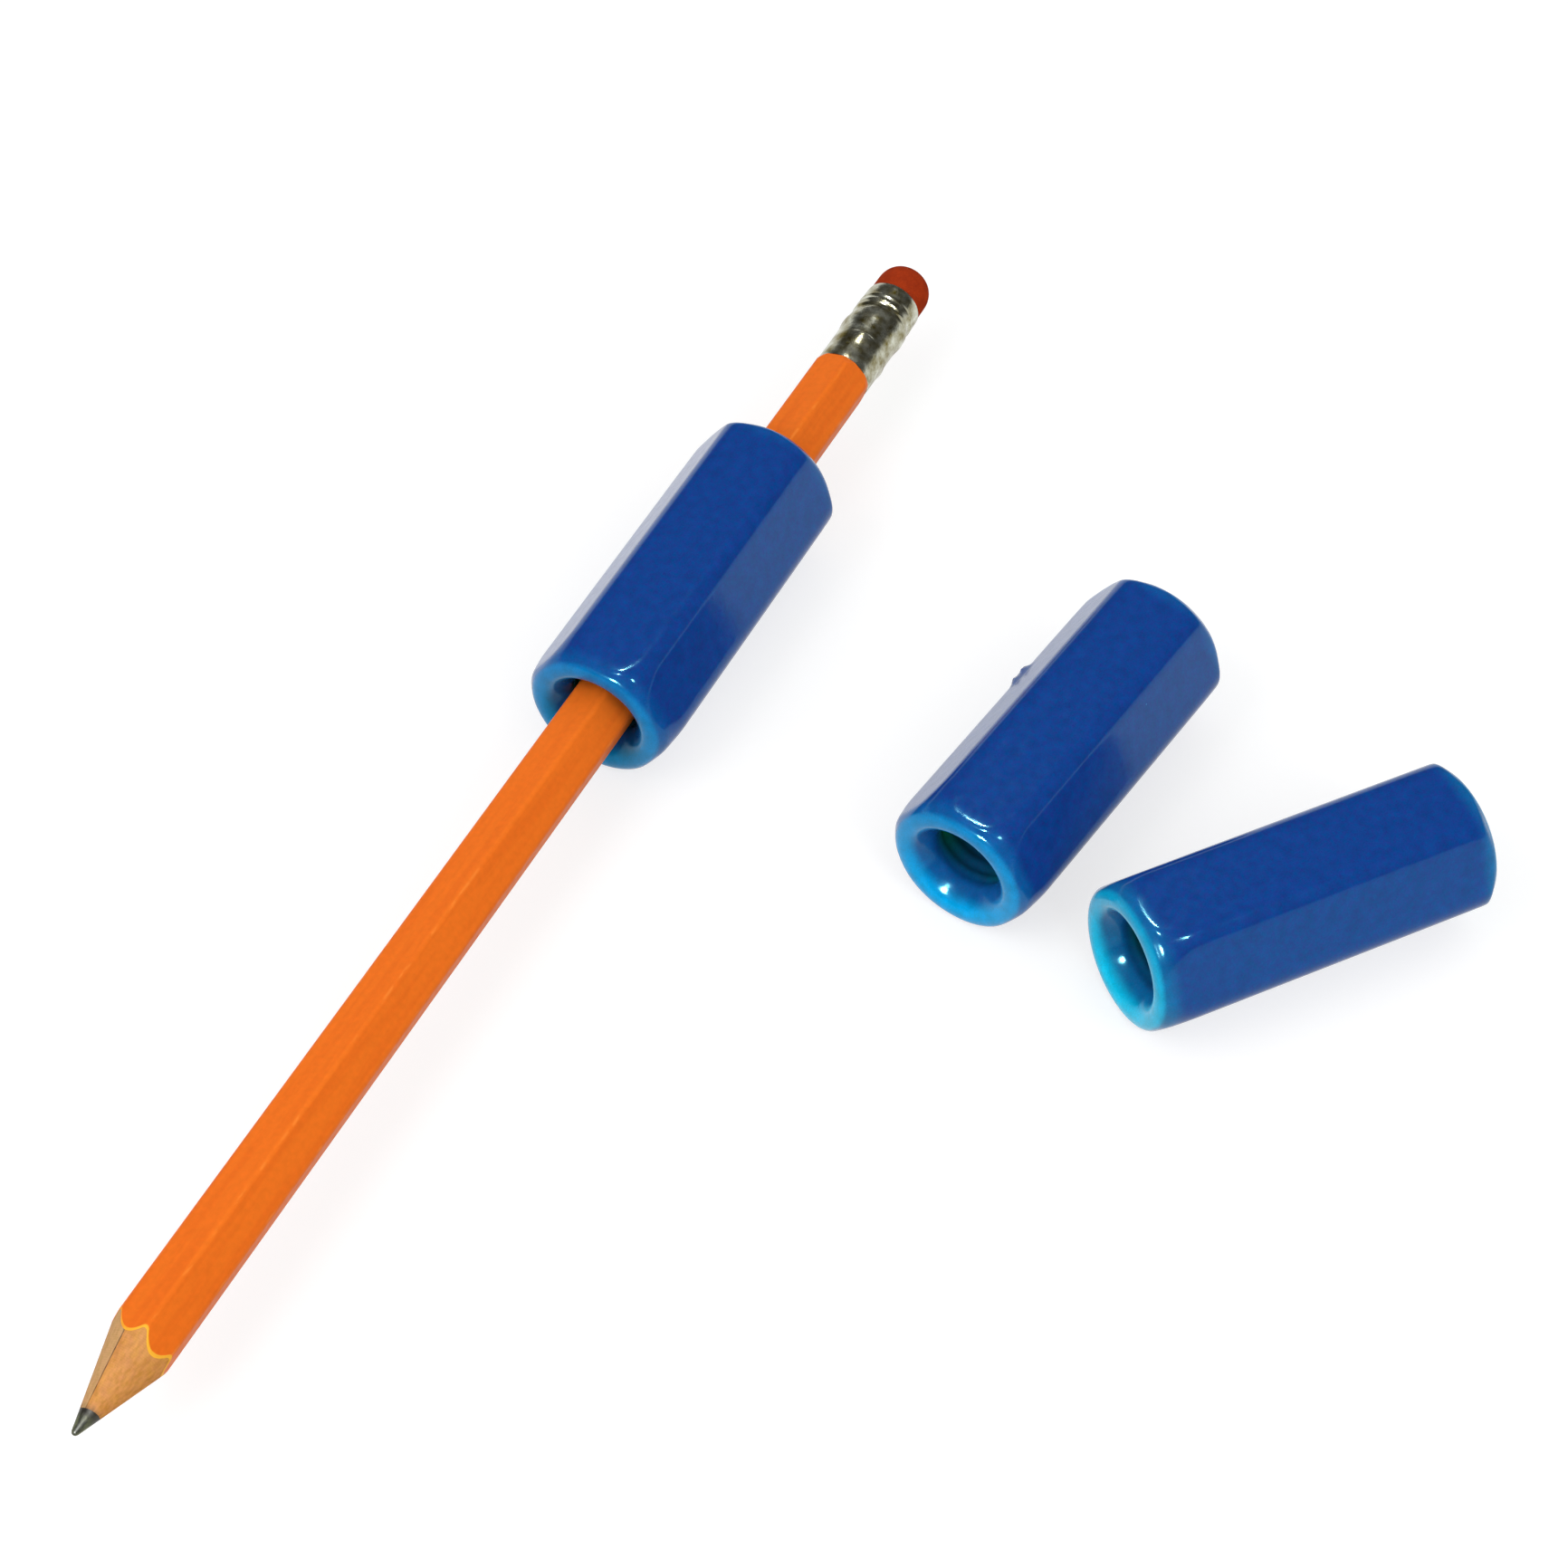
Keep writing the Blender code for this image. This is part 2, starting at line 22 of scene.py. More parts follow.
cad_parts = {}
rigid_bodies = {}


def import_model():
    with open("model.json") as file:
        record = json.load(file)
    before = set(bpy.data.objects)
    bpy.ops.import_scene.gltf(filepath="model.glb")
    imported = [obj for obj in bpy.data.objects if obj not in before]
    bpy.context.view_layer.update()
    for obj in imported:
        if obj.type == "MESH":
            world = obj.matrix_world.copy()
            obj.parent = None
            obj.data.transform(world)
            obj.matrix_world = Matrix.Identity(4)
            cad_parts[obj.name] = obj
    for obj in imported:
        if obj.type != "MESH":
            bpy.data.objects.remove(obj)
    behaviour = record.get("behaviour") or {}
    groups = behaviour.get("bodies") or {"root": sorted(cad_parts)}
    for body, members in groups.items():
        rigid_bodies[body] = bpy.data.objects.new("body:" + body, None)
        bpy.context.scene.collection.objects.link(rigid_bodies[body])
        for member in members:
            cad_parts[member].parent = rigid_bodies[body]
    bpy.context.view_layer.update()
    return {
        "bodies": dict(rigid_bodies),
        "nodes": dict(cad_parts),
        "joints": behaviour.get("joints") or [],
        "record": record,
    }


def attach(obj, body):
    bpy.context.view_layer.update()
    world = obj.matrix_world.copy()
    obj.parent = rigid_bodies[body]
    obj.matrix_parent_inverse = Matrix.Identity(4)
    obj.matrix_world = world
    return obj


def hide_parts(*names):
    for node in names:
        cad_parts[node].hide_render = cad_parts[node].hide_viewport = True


Colour = tuple[float, float, float, float]
Point = tuple[float, float, float]
Outline = list[tuple[float, float]]

LOG = logging.getLogger("pencil_weight_set")
MM = 0.001
MERGE = 1e-7
HALF_SECTOR = math.pi / 6
THREAD_PITCH = 0.00195
WHITE: Colour = (1.0, 1.0, 1.0, 1.0)


class Slot(str, Enum):
    """The record's material slots."""

    GRAPHITE = "graphite"
    CEDAR = "cedar"
    LACQUER = "lacquer"
    FERRULE = "ferrule"
    ERASER = "eraser"
    STEEL = "steel"
    VINYL = "vinyl"


class Cut(str, Enum):
    """What a boolean keeps of a piece."""

    KEEP_SHARED = "INTERSECT"
    TAKE_AWAY = "DIFFERENCE"


class Side(Enum):
    """The side of the glue seam that a slat lies on."""

    LEFT = 1.0
    RIGHT = -1.0


def tone(red: float, green: float, blue: float) -> Colour:
    """Turn a display colour into the linear one that shaders take.

    Args:
        red: Red from 0 to 255.
        green: Green from 0 to 255.
        blue: Blue from 0 to 255.

    Returns:
        The linear colour, with full alpha.
    """
    shares = (value / 255 for value in (red, green, blue))
    linear = [s / 12.92 if s <= 0.04045 else ((s + 0.055) / 1.055) ** 2.4 for s in shares]
    return (linear[0], linear[1], linear[2], 1.0)


def smooth_path(points: Outline, steps: int) -> Outline:
    """Round a coarse outline into a curve through its points.

    Args:
        points: The outline's points, as (along, radius).
        steps: Spans between two points.

    Returns:
        The finer outline, from the first point to the last.
    """
    path = [Vector(points[0]) * 2 - Vector(points[1])] + [Vector(p) for p in points]
    path.append(path[-1] * 2 - path[-2])
    curve: Outline = []
    for before, here, after, beyond in zip(path, path[1:], path[2:], path[3:]):
        for step in range(steps):
            t = step / steps
            spot = here * 2 + (after - before) * t
            spot += (before * 2 - here * 5 + after * 4 - beyond) * t**2
            spot += (here * 3 - before - after * 3 + beyond) * t**3
            curve.append((spot.x / 2, spot.y / 2))
    curve.append(tuple(points[-1]))
    return curve


def hex_reach(
    angle: np.ndarray, across_flats: float, edge_radius: float | np.ndarray,
) -> np.ndarray:
    """Measure how far a rounded hexagon reaches from its middle.

    Args:
        angle: Angles from the middle of a flat.
        across_flats: The hexagon's size across its flats.
        edge_radius: The radius of its rounded corners.

    Returns:
        The reach at each angle.
    """
    lean = np.abs((angle + HALF_SECTOR) % (2 * HALF_SECTOR) - HALF_SECTOR)
    half = across_flats / 2
    flat_end = np.arctan((half - edge_radius) * math.tan(HALF_SECTOR) / half)
    centre = (half - edge_radius) / math.cos(HALF_SECTOR)
    offset = HALF_SECTOR - lean
    inside = np.maximum(edge_radius**2 - (centre * np.sin(offset)) ** 2, 0.0)
    round_reach = centre * np.cos(offset) + np.sqrt(inside)
    return np.where(lean <= flat_end, half / np.cos(lean), round_reach)


def soft_smaller(first: np.ndarray, second: np.ndarray, sharpness: np.ndarray) -> np.ndarray:
    """Take about the smaller of two lengths, with a rounded change between them.

    Args:
        first: The first lengths.
        second: The second lengths.
        sharpness: How tight the change is.

    Returns:
        The blended lengths.
    """
    return (first**-sharpness + second**-sharpness) ** (-1 / sharpness)


def ramp(value: np.ndarray, low: float, high: float) -> np.ndarray:
    """Rise smoothly from 0 at low to 1 at high.

    Args:
        value: The values to grade.
        low: Where the rise starts.
        high: Where the rise ends.

    Returns:
        The graded values.
    """
    share = np.clip((value - low) / (high - low), 0.0, 1.0)
    return share * share * (3 - 2 * share)


class Bench:
    """Modelling moves that the pieces share, made with Blender's operators."""

    @staticmethod
    def clear() -> None:
        """Leave edit mode and deselect everything."""
        active = bpy.context.object
        if active is not None and active.mode != "OBJECT":
            bpy.ops.object.mode_set(mode="OBJECT")
        bpy.ops.object.select_all(action="DESELECT")

    @staticmethod
    def pick(piece: bpy.types.Object) -> None:
        """Make a piece the only selected object.

        Args:
            piece: The piece.
        """
        Bench.clear()
        piece.select_set(True)
        bpy.context.view_layer.objects.active = piece

    @staticmethod
    def turned(name: str, outline: Outline, steps: int, closed: bool = True) -> bpy.types.Object:
        """Spin an outline about the X axis.

        Args:
            name: The piece's name.
            outline: Points of the outline, as (along, radius).
            steps: Facets round the axis.
            closed: Whether the outline's end joins its start.

        Returns:
            The turned piece, whose points keep their outline's number as an attribute.
        """
        Bench.clear()
        bpy.ops.mesh.primitive_circle_add(vertices=len(outline), radius=1.0, fill_type="NOTHING")
        piece = bpy.context.object
        piece.name = piece.data.name = name
        station = piece.data.attributes.new("station", "INT", "POINT")
        for index, (along, radius) in enumerate(outline):
            piece.data.vertices[index].co = (along, 0.0, radius)
            station.data[index].value = index
        bpy.ops.object.mode_set(mode="EDIT")
        if not closed:
            ends = {0, len(outline) - 1}
            Bench.select_edges(piece, lambda edge: {v.index for v in edge.verts} == ends)
            bpy.ops.mesh.delete(type="EDGE")
        bpy.ops.mesh.select_all(action="SELECT")
        bpy.ops.mesh.spin(
            steps=steps, angle=2 * math.pi, center=(0.0, 0.0, 0.0), axis=(1.0, 0.0, 0.0),
        )
        bpy.ops.mesh.select_all(action="SELECT")
        bpy.ops.mesh.remove_doubles(threshold=MERGE)
        bpy.ops.mesh.normals_make_consistent(inside=False)
        bpy.ops.object.mode_set(mode="OBJECT")
        return piece

    @staticmethod
    def select_edges(piece: bpy.types.Object, wanted: Any) -> None:
        """Select the edges for which the test holds, in edit mode.

        Args:
            piece: The piece in edit mode.
            wanted: The test, called with each edge.
        """
        bpy.ops.mesh.select_mode(type="EDGE")
        bpy.ops.mesh.select_all(action="DESELECT")
        mesh = bmesh.from_edit_mesh(piece.data)
        for edge in mesh.edges:
            if wanted(edge):
                edge.select_set(True)
        bmesh.update_edit_mesh(piece.data)

    @staticmethod
    def hex_bar(
        name: str, across_flats: float, span: tuple[float, float], ridge: float,
    ) -> bpy.types.Object:
        """Add a hexagonal bar along X with rounded ridges and a flat facing up.

        Args:
            name: The piece's name.
            across_flats: Its size across the flats.
            span: Where it starts and ends along X.
            ridge: The radius of its ridges.

        Returns:
            The bar, on the X axis.
        """
        Bench.clear()
        bpy.ops.mesh.primitive_cylinder_add(
            vertices=6, radius=across_flats / 2 / math.cos(HALF_SECTOR), depth=span[1] - span[0],
            location=(sum(span) / 2, 0.0, 0.0), rotation=(0.0, math.pi / 2, 0.0),
        )
        piece = bpy.context.object
        piece.name = piece.data.name = name
        bpy.ops.object.transform_apply(location=True, rotation=True, scale=True)
        bpy.ops.object.mode_set(mode="EDIT")
        half = (span[1] - span[0]) / 2
        Bench.select_edges(piece, lambda edge: abs(edge.verts[0].co.x - edge.verts[1].co.x) > half)
        bpy.ops.mesh.bevel(
            offset_type="OFFSET", offset=ridge * math.tan(HALF_SECTOR), segments=10, profile=0.5,
            affect="EDGES",
        )
        bpy.ops.object.mode_set(mode="OBJECT")
        return piece

    @staticmethod
    def cut(piece: bpy.types.Object, cutter: bpy.types.Object, kind: Cut) -> None:
        """Shape a piece with a cutter, which is used up.

        Args:
            piece: The piece to shape.
            cutter: The closed mesh to shape it with.
            kind: What the boolean keeps.
        """
        Bench.pick(piece)
        boolean = piece.modifiers.new("cut", "BOOLEAN")
        boolean.operation = kind.value
        boolean.object = cutter
        boolean.solver = "EXACT"
        bpy.ops.object.modifier_apply(modifier=boolean.name)
        bpy.data.objects.remove(cutter, do_unlink=True)

    @staticmethod
    def settle(piece: bpy.types.Object, place: Matrix) -> None:
        """Move a piece to its place and apply that to its mesh.

        Args:
            piece: The piece, modelled about the X axis.
            place: Where it goes.
        """
        piece.matrix_world = place
        Bench.pick(piece)
        bpy.ops.object.transform_apply(location=True, rotation=True, scale=True)

    @staticmethod
    def smooth(piece: bpy.types.Object, angle: float) -> None:
        """Shade a piece smooth, with sharp edges over an angle in degrees.

        Args:
            piece: The piece.
            angle: The least angle of a sharp edge.
        """
        Bench.pick(piece)
        bpy.ops.object.shade_smooth_by_angle(angle=math.radians(angle))

    @staticmethod
    def halve(piece: bpy.types.Object, point: Point, normal: Vector) -> None:
        """Keep the part of a piece on a plane's upper side, and close the cut.

        Args:
            piece: The piece.
            point: A point of the plane.
            normal: The side that stays.
        """
        Bench.pick(piece)
        bpy.ops.object.mode_set(mode="EDIT")
        bpy.ops.mesh.select_all(action="SELECT")
        bpy.ops.mesh.bisect(plane_co=point, plane_no=normal, use_fill=True, clear_inner=True)
        bpy.ops.object.mode_set(mode="OBJECT")

    @staticmethod
    def spots(piece: bpy.types.Object) -> np.ndarray:
        """Read a piece's points.

        Args:
            piece: The piece.

        Returns:
            The points, one row each.
        """
        spots = np.empty(len(piece.data.vertices) * 3)
        piece.data.vertices.foreach_get("co", spots)
        return spots.reshape(-1, 3)

    @staticmethod
    def reach_to(
        piece: bpy.types.Object, spots: np.ndarray, angle: np.ndarray, reach: np.ndarray,
    ) -> None:
        """Move a piece's points to new distances from the X axis.

        Args:
            piece: The piece.
            spots: Its points.
            angle: Their angles round the axis, from the top.
            reach: Their new distances.
        """
        spots[:, 1], spots[:, 2] = reach * np.sin(angle), reach * np.cos(angle)
        piece.data.vertices.foreach_set("co", spots.ravel())
        piece.data.update()


class Graph:
    """A node tree and short calls for the nodes it holds."""

    def __init__(self, tree: bpy.types.NodeTree) -> None:
        """Wrap the tree."""
        self.tree = tree

    def add(
        self, kind: str, inputs: dict[Any, Any] | None = None, **settings: Any,
    ) -> bpy.types.Node:
        """Add a node.

        Args:
            kind: The node's type.
            inputs: Values or sockets for its inputs, by name or number.
            settings: Values of its properties.

        Returns:
            The node.
        """
        node = self.tree.nodes.new(kind)
        for name, value in settings.items():
            setattr(node, name, value)
        for key, value in (inputs or {}).items():
            self.feed(node.inputs[key], value)
        return node

    def feed(self, socket: bpy.types.NodeSocket, value: Any) -> None:
        """Link a socket to an input, or set the input's own value.

        Args:
            socket: The input.
            value: The socket or value that it takes.
        """
        if isinstance(value, bpy.types.NodeSocket):
            self.tree.links.new(value, socket)
        else:
            socket.default_value = value

    def math(self, operation: str, first: Any, second: Any = 0.0) -> bpy.types.NodeSocket:
        """Add a Math node and return its value."""
        return self.add("ShaderNodeMath", {0: first, 1: second}, operation=operation).outputs[0]

    def blend(self, share: Any, first: Any, second: Any) -> bpy.types.NodeSocket:
        """Add a colour Mix node and return its result."""
        node = self.add("ShaderNodeMix", {0: share, 6: first, 7: second}, data_type="RGBA")
        return node.outputs[2]

    def scaled(self, colour: Any, share: Any) -> bpy.types.NodeSocket:
        """Multiply a colour by a value and return the product."""
        node = self.add("ShaderNodeVectorMath", {0: colour, "Scale": share}, operation="SCALE")
        return node.outputs[0]

    def graded(
        self, value: Any, low: float, high: float, start: float, end: float,
    ) -> bpy.types.NodeSocket:
        """Map a value smoothly from one range to another.

        Args:
            value: The value.
            low: Where its range starts.
            high: Where its range ends.
            start: The result at low.
            end: The result at high.

        Returns:
            The mapped value.
        """
        limits = {0: value, 1: low, 2: high, 3: start, 4: end}
        return self.add("ShaderNodeMapRange", limits, interpolation_type="SMOOTHSTEP").outputs[0]

    def stretched(self, vector: Any, factors: Any) -> bpy.types.NodeSocket:
        """Multiply a vector by factors and return the product."""
        node = self.add("ShaderNodeVectorMath", {0: vector, 1: factors}, operation="MULTIPLY")
        return node.outputs[0]

    def along(self, vector: Any, axis: Point) -> bpy.types.NodeSocket:
        """Return how far a vector reaches along an axis."""
        node = self.add("ShaderNodeVectorMath", {0: vector, 1: axis}, operation="DOT_PRODUCT")
        return node.outputs["Value"]

    def noise(self, vector: Any, scale: Any, detail: float = 3.0) -> bpy.types.NodeSocket:
        """Add a Noise texture and return its value."""
        node = self.add("ShaderNodeTexNoise", {"Vector": vector, "Scale": scale, "Detail": detail})
        return node.outputs[0]


class Effect:
    """Shader node groups that more than one finish uses, each built once."""

    _made: dict[str, bpy.types.NodeTree] = {}

    @classmethod
    def begin(
        cls, name: str, values: Sequence[str], outputs: Sequence[str],
    ) -> tuple[Graph, Any, Any]:
        """Start a group that takes a vector and some values.

        Args:
            name: The group's name.
            values: The names of its value inputs.
            outputs: The names of its value outputs.

        Returns:
            The graph, the group's input sockets and its output node's inputs.
        """
        tree = bpy.data.node_groups.new(name, "ShaderNodeTree")
        tree.interface.new_socket("Vector", in_out="INPUT", socket_type="NodeSocketVector")
        for label in values:
            tree.interface.new_socket(label, in_out="INPUT", socket_type="NodeSocketFloat")
        for label in outputs:
            tree.interface.new_socket(label, in_out="OUTPUT", socket_type="NodeSocketFloat")
        cls._made[name] = tree
        graph = Graph(tree)
        return graph, graph.add("NodeGroupInput").outputs, graph.add("NodeGroupOutput").inputs

    @classmethod
    def streaks(cls) -> bpy.types.NodeTree:
        """Make the fine streaks along X: wood grain, drawn lines and the graphite's rubbed streaks,
        which carry its painted sheen.

        Returns:
            The group.
        """
        if "streaks" not in cls._made:
            graph, given, out = cls.begin("streaks", ("Along", "Across"), ("Value",))
            scales = {0: given[1], 1: given[2], 2: given[2]}
            spread = graph.stretched(given[0], graph.add("ShaderNodeCombineXYZ", scales).outputs[0])
            graph.feed(out[0], graph.noise(spread, 1.0, 4.0))
        return cls._made["streaks"]

    @classmethod
    def mottle(cls) -> bpy.types.NodeTree:
        """Make the soft uneven shade of coats, lacquer, rubber and metal.

        Returns:
            The group.
        """
        if "mottle" not in cls._made:
            graph, given, out = cls.begin("mottle", ("Scale", "Low", "High"), ("Value",))
            cloud = graph.noise(given[0], given[1])
            limits = {0: cloud, 1: 0.3, 2: 0.7, 3: given[2], 4: given[3]}
            graph.feed(out[0], graph.add("ShaderNodeMapRange", limits).outputs[0])
        return cls._made["mottle"]

    @classmethod
    def flecks(cls) -> bpy.types.NodeTree:
        """Make the scattered specks: dust on the coats, pores in the wood.

        Returns:
            The group.
        """
        if "flecks" not in cls._made:
            graph, given, out = cls.begin("flecks", ("Scale", "Size", "Rarity"), ("Mask",))
            cells = graph.add("ShaderNodeTexVoronoi", {"Vector": given[0], "Scale": given[1]})
            near = graph.math("LESS_THAN", cells.outputs["Distance"], given[2])
            pick = graph.add("ShaderNodeSeparateColor", {0: cells.outputs["Color"]}).outputs[0]
            kept = graph.math("GREATER_THAN", pick, given[3])
            graph.feed(out[0], graph.math("MULTIPLY", near, kept))
        return cls._made["flecks"]

    @staticmethod
    def distance(graph: Graph, across: Any, height: Any) -> bpy.types.NodeSocket:
        """Return the distance from an axis along X."""
        squares = [graph.math("POWER", share, 2.0) for share in (across, height)]
        return graph.math("SQRT", graph.math("ADD", *squares))

    @classmethod
    def cone(cls, pencil: "Pencil") -> bpy.types.NodeTree:
        """Make the measure of how far inside the sharpened cone a point lies.

        Args:
            pencil: The pencil whose cone it is.

        Returns:
            The group, with the margin, the distance from the axis and the place along it.
        """
        if "cone" not in cls._made:
            graph, given, out = cls.begin("cone", (), ("Margin", "Radius", "Along"))
            parts = graph.add("ShaderNodeSeparateXYZ", {0: given[0]}).outputs
            height = graph.math("SUBTRACT", parts[2], pencil.axis_height)
            along = graph.math("SUBTRACT", parts[0], pencil.point_at)
            drift = [graph.math("MULTIPLY_ADD", along, lean) for lean in pencil.askew]
            for share, start in zip(drift, pencil.offset):
                share.node.inputs[2].default_value = start
            places = zip((parts[1], height), drift)
            cut = [graph.math("SUBTRACT", here, middle) for here, middle in places]
            cone = graph.math("MULTIPLY", along, math.tan(pencil.half_angle))
            cone = graph.math("ADD", cone, pencil.point_radius)
            graph.feed(out[0], graph.math("SUBTRACT", cone, cls.distance(graph, *cut)))
            graph.feed(out[1], cls.distance(graph, parts[1], height))
            graph.feed(out[2], along)
        return cls._made["cone"]


class Finish:
    """A material in the making: its graph, its coordinates and its shader."""

    def __init__(self, name: str) -> None:
        """Start a material with Object coordinates."""
        self.material = bpy.data.materials.new(name)
        self.material.use_nodes = True
        self.graph = Graph(self.material.node_tree)
        self.shader = self.material.node_tree.nodes["Principled BSDF"]
        self.spot = self.graph.add("ShaderNodeTexCoord").outputs["Object"]

    def effect(self, tree: bpy.types.NodeTree, **values: Any) -> bpy.types.bpy_prop_collection:
        """Place a shared effect.

        Args:
            tree: The effect's group.
            values: Values or sockets for its inputs, by name.

        Returns:
            The effect's outputs.
        """
        node = self.graph.add("ShaderNodeGroup", node_tree=tree)
        values.setdefault("Vector", self.spot)
        for name, value in values.items():
            self.graph.feed(node.inputs[name], value)
        return node.outputs

    def mottled(self, scale: float, low: float, high: float) -> bpy.types.NodeSocket:
        """Return an uneven value between two limits."""
        return self.effect(Effect.mottle(), Scale=scale, Low=low, High=high)[0]

    def bump(self, height: Any, depth: float, strength: float = 1.0) -> None:
        """Feed the shader's normal from a height.

        Args:
            height: The height, from 0 to 1.
            depth: The depth of the relief in metres.
            strength: How much of it shows.
        """
        relief = {"Strength": strength, "Distance": depth, "Height": height}
        self.set(Normal=self.graph.add("ShaderNodeBump", relief).outputs[0])

    def set(self, **values: Any) -> None:
        """Set or link the shader's inputs, with underscores for blanks."""
        for name, value in values.items():
            self.graph.feed(self.shader.inputs[name.replace("_", " ")], value)


@dataclass(frozen=True)
class VinylFinish:
    """Dipped vinyl: deep blue, lighter cyan over the rims, partly as thin vinyl and partly as
    painted light, with a painted green shade deep in the bore.
    """

    # The lighter cyan of the mouth rims: thin vinyl, and painted light where the rims face the
    # lamps.
    rim: Colour
    body: Colour = tone(2, 70, 146)
    violet: Colour = tone(32, 57, 141)
    # Painted shade: the green-black of the shaded deep bore.
    deep: Colour = tone(0, 118, 16)
    speck: Colour = tone(70, 150, 215)
    sheen: Colour = (0.25, 0.88, 1.0, 1.0)
    gloss: tuple[float, float] = (0.1, 0.17)
    ior: float = 1.43

    def material(self, name: str) -> bpy.types.Material:
        """Make the material.

        Args:
            name: Its name.

        Returns:
            The material.
        """
        finish = Finish(name)
        graph = finish.graph
        # The rim mask carries the thin vinyl's lighter tint and painted light, lighter at the
        # bottom of each mouth and darker at its top.
        rim = graph.add("ShaderNodeAttribute", attribute_name="rim").outputs["Fac"]
        # The deep mask places the painted shade of the deep bore walls.
        deep = graph.add("ShaderNodeAttribute", attribute_name="deep").outputs["Fac"]
        colour = graph.blend(finish.mottled(2200.0, 0.0, 1.0), self.body, self.violet)
        colour = graph.blend(deep, graph.blend(rim, colour, self.rim), self.deep)
        colour = graph.scaled(colour, finish.mottled(620.0, 0.9, 1.1))
        colour = graph.scaled(colour, finish.mottled(5200.0, 0.9, 1.1))
        specks = finish.effect(Effect.flecks(), Scale=260.0, Size=0.035, Rarity=0.86)[0]
        colour = graph.blend(graph.math("MULTIPLY", specks, 0.5), colour, self.speck)
        finish.set(Base_Color=colour, Roughness=finish.mottled(900.0, *self.gloss), IOR=self.ior)
        finish.set(Specular_Tint=self.sheen)
        finish.bump(graph.noise(finish.spot, 420.0, 2.0), 0.00004, 0.5)
        return finish.material


@dataclass(frozen=True)
class LacquerFinish:
    """Orange barrel lacquer over its yellow undercoat, with lighter rubbed ridges that also stand
    as a painted highlight.
    """

    face: Colour = tone(243, 116, 32)
    deep: Colour = tone(238, 110, 30)
    # Lighter orange of the ridges: rubbed lacquer and a painted highlight.
    rubbed_and_painted_highlight: Colour = tone(255, 150, 62)
    undercoat: Colour = tone(255, 186, 58)
    sheen: Colour = (1.0, 0.45, 0.08, 1.0)
    gloss: tuple[float, float] = (0.42, 0.55)
    ior: float = 1.25
    rub_and_highlight_width: float = 0.035 * MM
    edge_width: float = 0.045 * MM
    edge_waver: float = 0.05 * MM

    def material(self, pencil: "Pencil") -> bpy.types.Material:
        """Make the material.

        Args:
            pencil: The pencil that it covers.

        Returns:
            The material.
        """
        finish = Finish("orange_lacquer")
        graph = finish.graph
        margin, radius, _ = finish.effect(Effect.cone(pencil))
        grain = finish.effect(Effect.streaks(), Along=60.0, Across=900.0)[0]
        colour = graph.blend(graph.graded(grain, 0.3, 0.6, 0.0, 1.0), self.deep, self.face)
        colour = graph.scaled(colour, finish.mottled(1400.0, 0.96, 1.04))
        reach = pencil.ridge_reach
        # Ridge band: worn lacquer and a painted highlight, broken along its length.
        ridge = graph.graded(radius, reach - self.rub_and_highlight_width, reach, 0.0, 1.0)
        broken = finish.effect(Effect.streaks(), Along=420.0, Across=900.0)[0]
        rub_and_highlight = graph.math("MULTIPLY", ridge, graph.graded(broken, 0.52, 0.68, 0.0, 0.6))
        colour = graph.blend(rub_and_highlight, colour, self.rubbed_and_painted_highlight)
        ragged = graph.math("ADD", margin, graph.math("MULTIPLY", broken, -self.edge_waver))
        edge = graph.graded(ragged, 0.0, self.edge_width, 1.0, 0.0)
        colour = graph.blend(edge, colour, self.undercoat)
        finish.set(Base_Color=colour, Roughness=finish.mottled(1100.0, *self.gloss), IOR=self.ior)
        finish.set(Specular_Tint=self.sheen)
        finish.bump(grain, 0.00002, 0.4)
        return finish.material


@dataclass(frozen=True)
class CedarFinish:
    """Sharpened cedar with grain, pores, a glue line and graphite dust near the core."""

    pale: Colour = tone(225, 156, 66)
    warm: Colour = tone(197, 127, 38)
    rosy: Colour = tone(214, 140, 88)
    pore: Colour = tone(120, 70, 32)
    glue: Colour = tone(96, 58, 30)
    dust: Colour = tone(88, 74, 58)
    seam_line: tuple[float, float] = (0.03 * MM, 0.09 * MM)
    dust_reach: float = 0.9 * MM
    blade_step: float = 0.24 * MM

    def material(self, name: str, pencil: "Pencil") -> bpy.types.Material:
        """Make the material for one slat.

        Args:
            name: Its name.
            pencil: The pencil that the slat belongs to.

        Returns:
            The material.
        """
        finish = Finish(name)
        graph = finish.graph
        along = finish.effect(Effect.cone(pencil))[2]
        grain = finish.effect(Effect.streaks(), Along=160.0, Across=2600.0)[0]
        colour = graph.blend(graph.graded(grain, 0.25, 0.75, 0.0, 1.0), self.pale, self.warm)
        colour = graph.blend(finish.mottled(1300.0, 0.0, 0.5), colour, self.rosy)
        colour = graph.scaled(colour, finish.mottled(2600.0, 0.93, 1.07))
        spread = graph.stretched(finish.spot, (0.35, 1.0, 1.0))
        flecks = Effect.flecks()
        pores = finish.effect(flecks, Vector=spread, Scale=900.0, Size=0.14, Rarity=0.92)[0]
        colour = graph.blend(graph.math("MULTIPLY", pores, 0.4), colour, self.pore)
        seam = graph.along(finish.spot, tuple(pencil.seam_normal))
        seam = graph.math("SUBTRACT", seam, pencil.seam_normal.z * pencil.axis_height)
        line = graph.graded(graph.math("ABSOLUTE", seam), *self.seam_line, 0.8, 0.0)
        line = graph.math("MULTIPLY", line, finish.mottled(1500.0, 0.2, 1.0))
        colour = graph.blend(line, colour, self.glue)
        core_end = pencil.cone_height(pencil.core_radius)
        smear = graph.graded(along, core_end, core_end + self.dust_reach, 0.55, 0.0)
        smear = graph.math("MULTIPLY", smear, graph.graded(grain, 0.3, 0.6, 0.4, 1.0))
        colour = graph.blend(smear, colour, self.dust)
        finish.set(Base_Color=colour, Roughness=0.75, Specular_IOR_Level=0.2)
        turning = graph.math("MULTIPLY", along, 2 * math.pi / self.blade_step)
        turning = graph.math("SINE", turning)
        relief = graph.math("ADD", graph.math("MULTIPLY", turning, 0.2), grain)
        finish.bump(relief, 0.00004, 0.4)
        return finish.material


